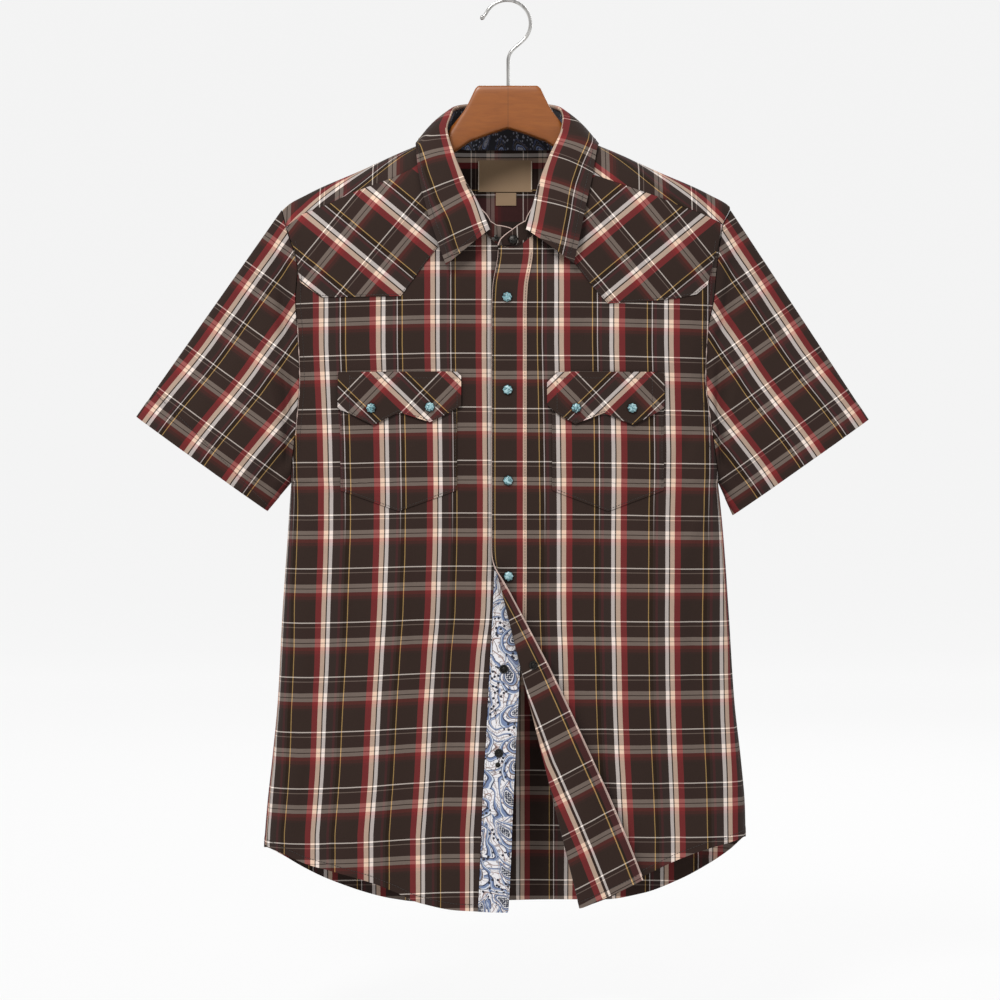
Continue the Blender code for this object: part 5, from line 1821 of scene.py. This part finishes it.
def make_camera():
    data = bpy.data.cameras.new("camera")
    data.angle = 2 * math.atan(VIEW_WIDTH / 2 / CAMERA_DISTANCE)
    camera = bpy.data.objects.new("camera", data)
    bpy.context.scene.collection.objects.link(camera)
    camera.location = (VIEW_MIDDLE[0], -CAMERA_DISTANCE, VIEW_MIDDLE[1])
    camera.rotation_euler = (math.pi / 2, 0, 0)
    bpy.context.scene.camera = camera


def make_stage():
    """A floor that rises into a wall all round, nearly black in colour, whose pale look is its own painted
    glow, rising toward the back.
    """
    profile = [(FLOOR_RADIUS, 0)]
    for degrees in range(10, 91, 10):
        angle = math.radians(degrees)
        out, up = FLOOR_RISE * math.sin(angle), FLOOR_RISE - FLOOR_RISE * math.cos(angle)
        profile.append((FLOOR_RADIUS + out, up))
    profile.append((FLOOR_RADIUS + FLOOR_RISE, WALL_TOP))
    steps = 64
    corners = []
    for radius, height in profile:
        for k in range(steps):
            angle = 2 * math.pi * k / steps
            corners.append((radius * math.cos(angle), radius * math.sin(angle), FLOOR_Z + height))
    faces = ring_faces(len(profile), steps, 1)
    # Painted glow: the stage's base colour is nearly black; it looks pale by its own emission, which rises
    # toward the back and also lights the shirt.
    pale = Finish("stage", Roughness=0.9, Emission_Color=(1, 1, 1, 1))
    pale.color((0.04, 0.04, 0.04, 1))
    depth = pale.node("SeparateXYZ", {0: pale.place}).outputs[1]
    span = dict(enumerate((depth, *GLOW_SPAN, *GLOW)))
    glow = pale.node("MapRange", span, interpolation_type="SMOOTHSTEP")
    pale.plug(pale.shader.inputs["Emission Strength"], glow.outputs[0])
    pale.made.cycles.emission_sampling = "NONE"
    merged("floor", corners, faces, [pale.made])


def make_light():
    world = bpy.data.worlds.new("light")
    world.use_nodes = True
    world.node_tree.nodes["Background"].inputs[0].default_value = (1, 1, 1, 1)
    world.node_tree.nodes["Background"].inputs[1].default_value = WORLD_LIGHT
    bpy.context.scene.world = world
    for name, place, size, power in LIGHTS:
        data = bpy.data.lights.new(name, "AREA")
        data.shape = "DISK"
        data.size = size
        data.energy = power
        light = bpy.data.objects.new(name, data)
        bpy.context.scene.collection.objects.link(light)
        light.location = place
        light.rotation_euler = (Vector(LIGHT_AIM) - Vector(place)).to_track_quat("-Z", "Y").to_euler()


def main():
    bpy.context.scene.view_settings.view_transform = "Standard"
    make_camera()
    make_stage()
    make_light()
    plaid = make_plaid("plaid", WARP)
    inner_plaid = make_plaid("plaid_inside", INSIDE_WARP)
    facing_print = make_paisley("paisley", *FACING_PRINT)
    stand_print = make_paisley("dark_paisley", *STAND_PRINT_INKS)
    label = make_woven("label_weave", (166, 137, 106))
    wood = make_wood()
    wire = make_speckled(
        "wire",
        ((0.3, (150, 148, 145)), (0.6, (205, 203, 200))),
        (0.00005, 0.3),
        (1.0, 3.0, (300, 300, 40)),
        Metallic=1.0,
        Roughness=0.22,
    )
    turquoise = make_speckled(
        "turquoise",
        ((0.36, (30, 54, 60)), (0.47, (92, 138, 144)), (0.62, (160, 192, 196))),
        (0.00006, 0.3),
        (330.0, 4.0, None, 1.2),
        Roughness=0.3,
        Coat_Weight=0.3,
        Coat_Roughness=0.15,
    )
    metal = make_speckled(
        "dark_metal",
        ((0.3, (22, 21, 20)), (0.65, (58, 56, 53))),
        (0.00006, 0.4),
        (500.0, 3.0),
        Metallic=0.9,
        Roughness=0.35,
    )

    make_front_r(plaid)
    make_front_l(plaid, inner_plaid)
    make_back(plaid)
    make_back_yoke(plaid)
    make_front_yoke("front_yoke_r", under_front, YOKE_R_LOWER, 1, plaid)
    make_front_yoke("front_yoke_l", front, YOKE_L_LOWER, -1, plaid)
    sleeve_r = make_sleeve("sleeve_r", minus_edge, CUFF_R, plaid)
    sleeve_l = make_sleeve("sleeve_l", plus_edge, CUFF_L, plaid)
    collar = make_collar(plaid)
    make_stand(plaid, stand_print)
    sides = over_edge, lambda z: over_edge(z) + PLACKET_WIDTH
    top = lambda x: front_top(x) - 2 * SEAM
    make_strip("placket", "plaid", over_front, sides, top, plaid, cut_placket, "front_l")
    sides = lambda z: under_edge(z) - FACING_WIDTH, under_edge
    top = lambda x: FACING_TOP + 0 * x
    cut = lambda x, z: np.stack([x, z], -1) / FACING_PRINT_SIZE
    make_strip("facing", "paisley", under_front, sides, top, facing_print, cut, "front_r")
    make_pocket("pocket_r", POCKET_R, under_front, cut_r, POCKET_SLIP_R, plaid)
    make_pocket("pocket_l", POCKET_L, front, cut_l, POCKET_SLIP_L, plaid)
    make_flap("flap_r", FLAP_R, under_front, 1, plaid)
    make_flap("flap_l", FLAP_L, front, -1, plaid)
    make_label("label", LABEL, label)
    make_label("size_tab", SIZE_TAB, label)
    dark, pale = make_thread("thread", (40, 32, 28)), make_thread("pale_thread", (150, 140, 128))
    make_stitches(collar, (sleeve_r, sleeve_l), dark, pale)
    make_edges(make_thread("pale_edge_and_highlight", (178, 154, 144)), make_thread("label_edge", (240, 226, 206)))
    make_snaps(metal, turquoise)
    make_hanger(wood)
    make_hook(wire)


main()
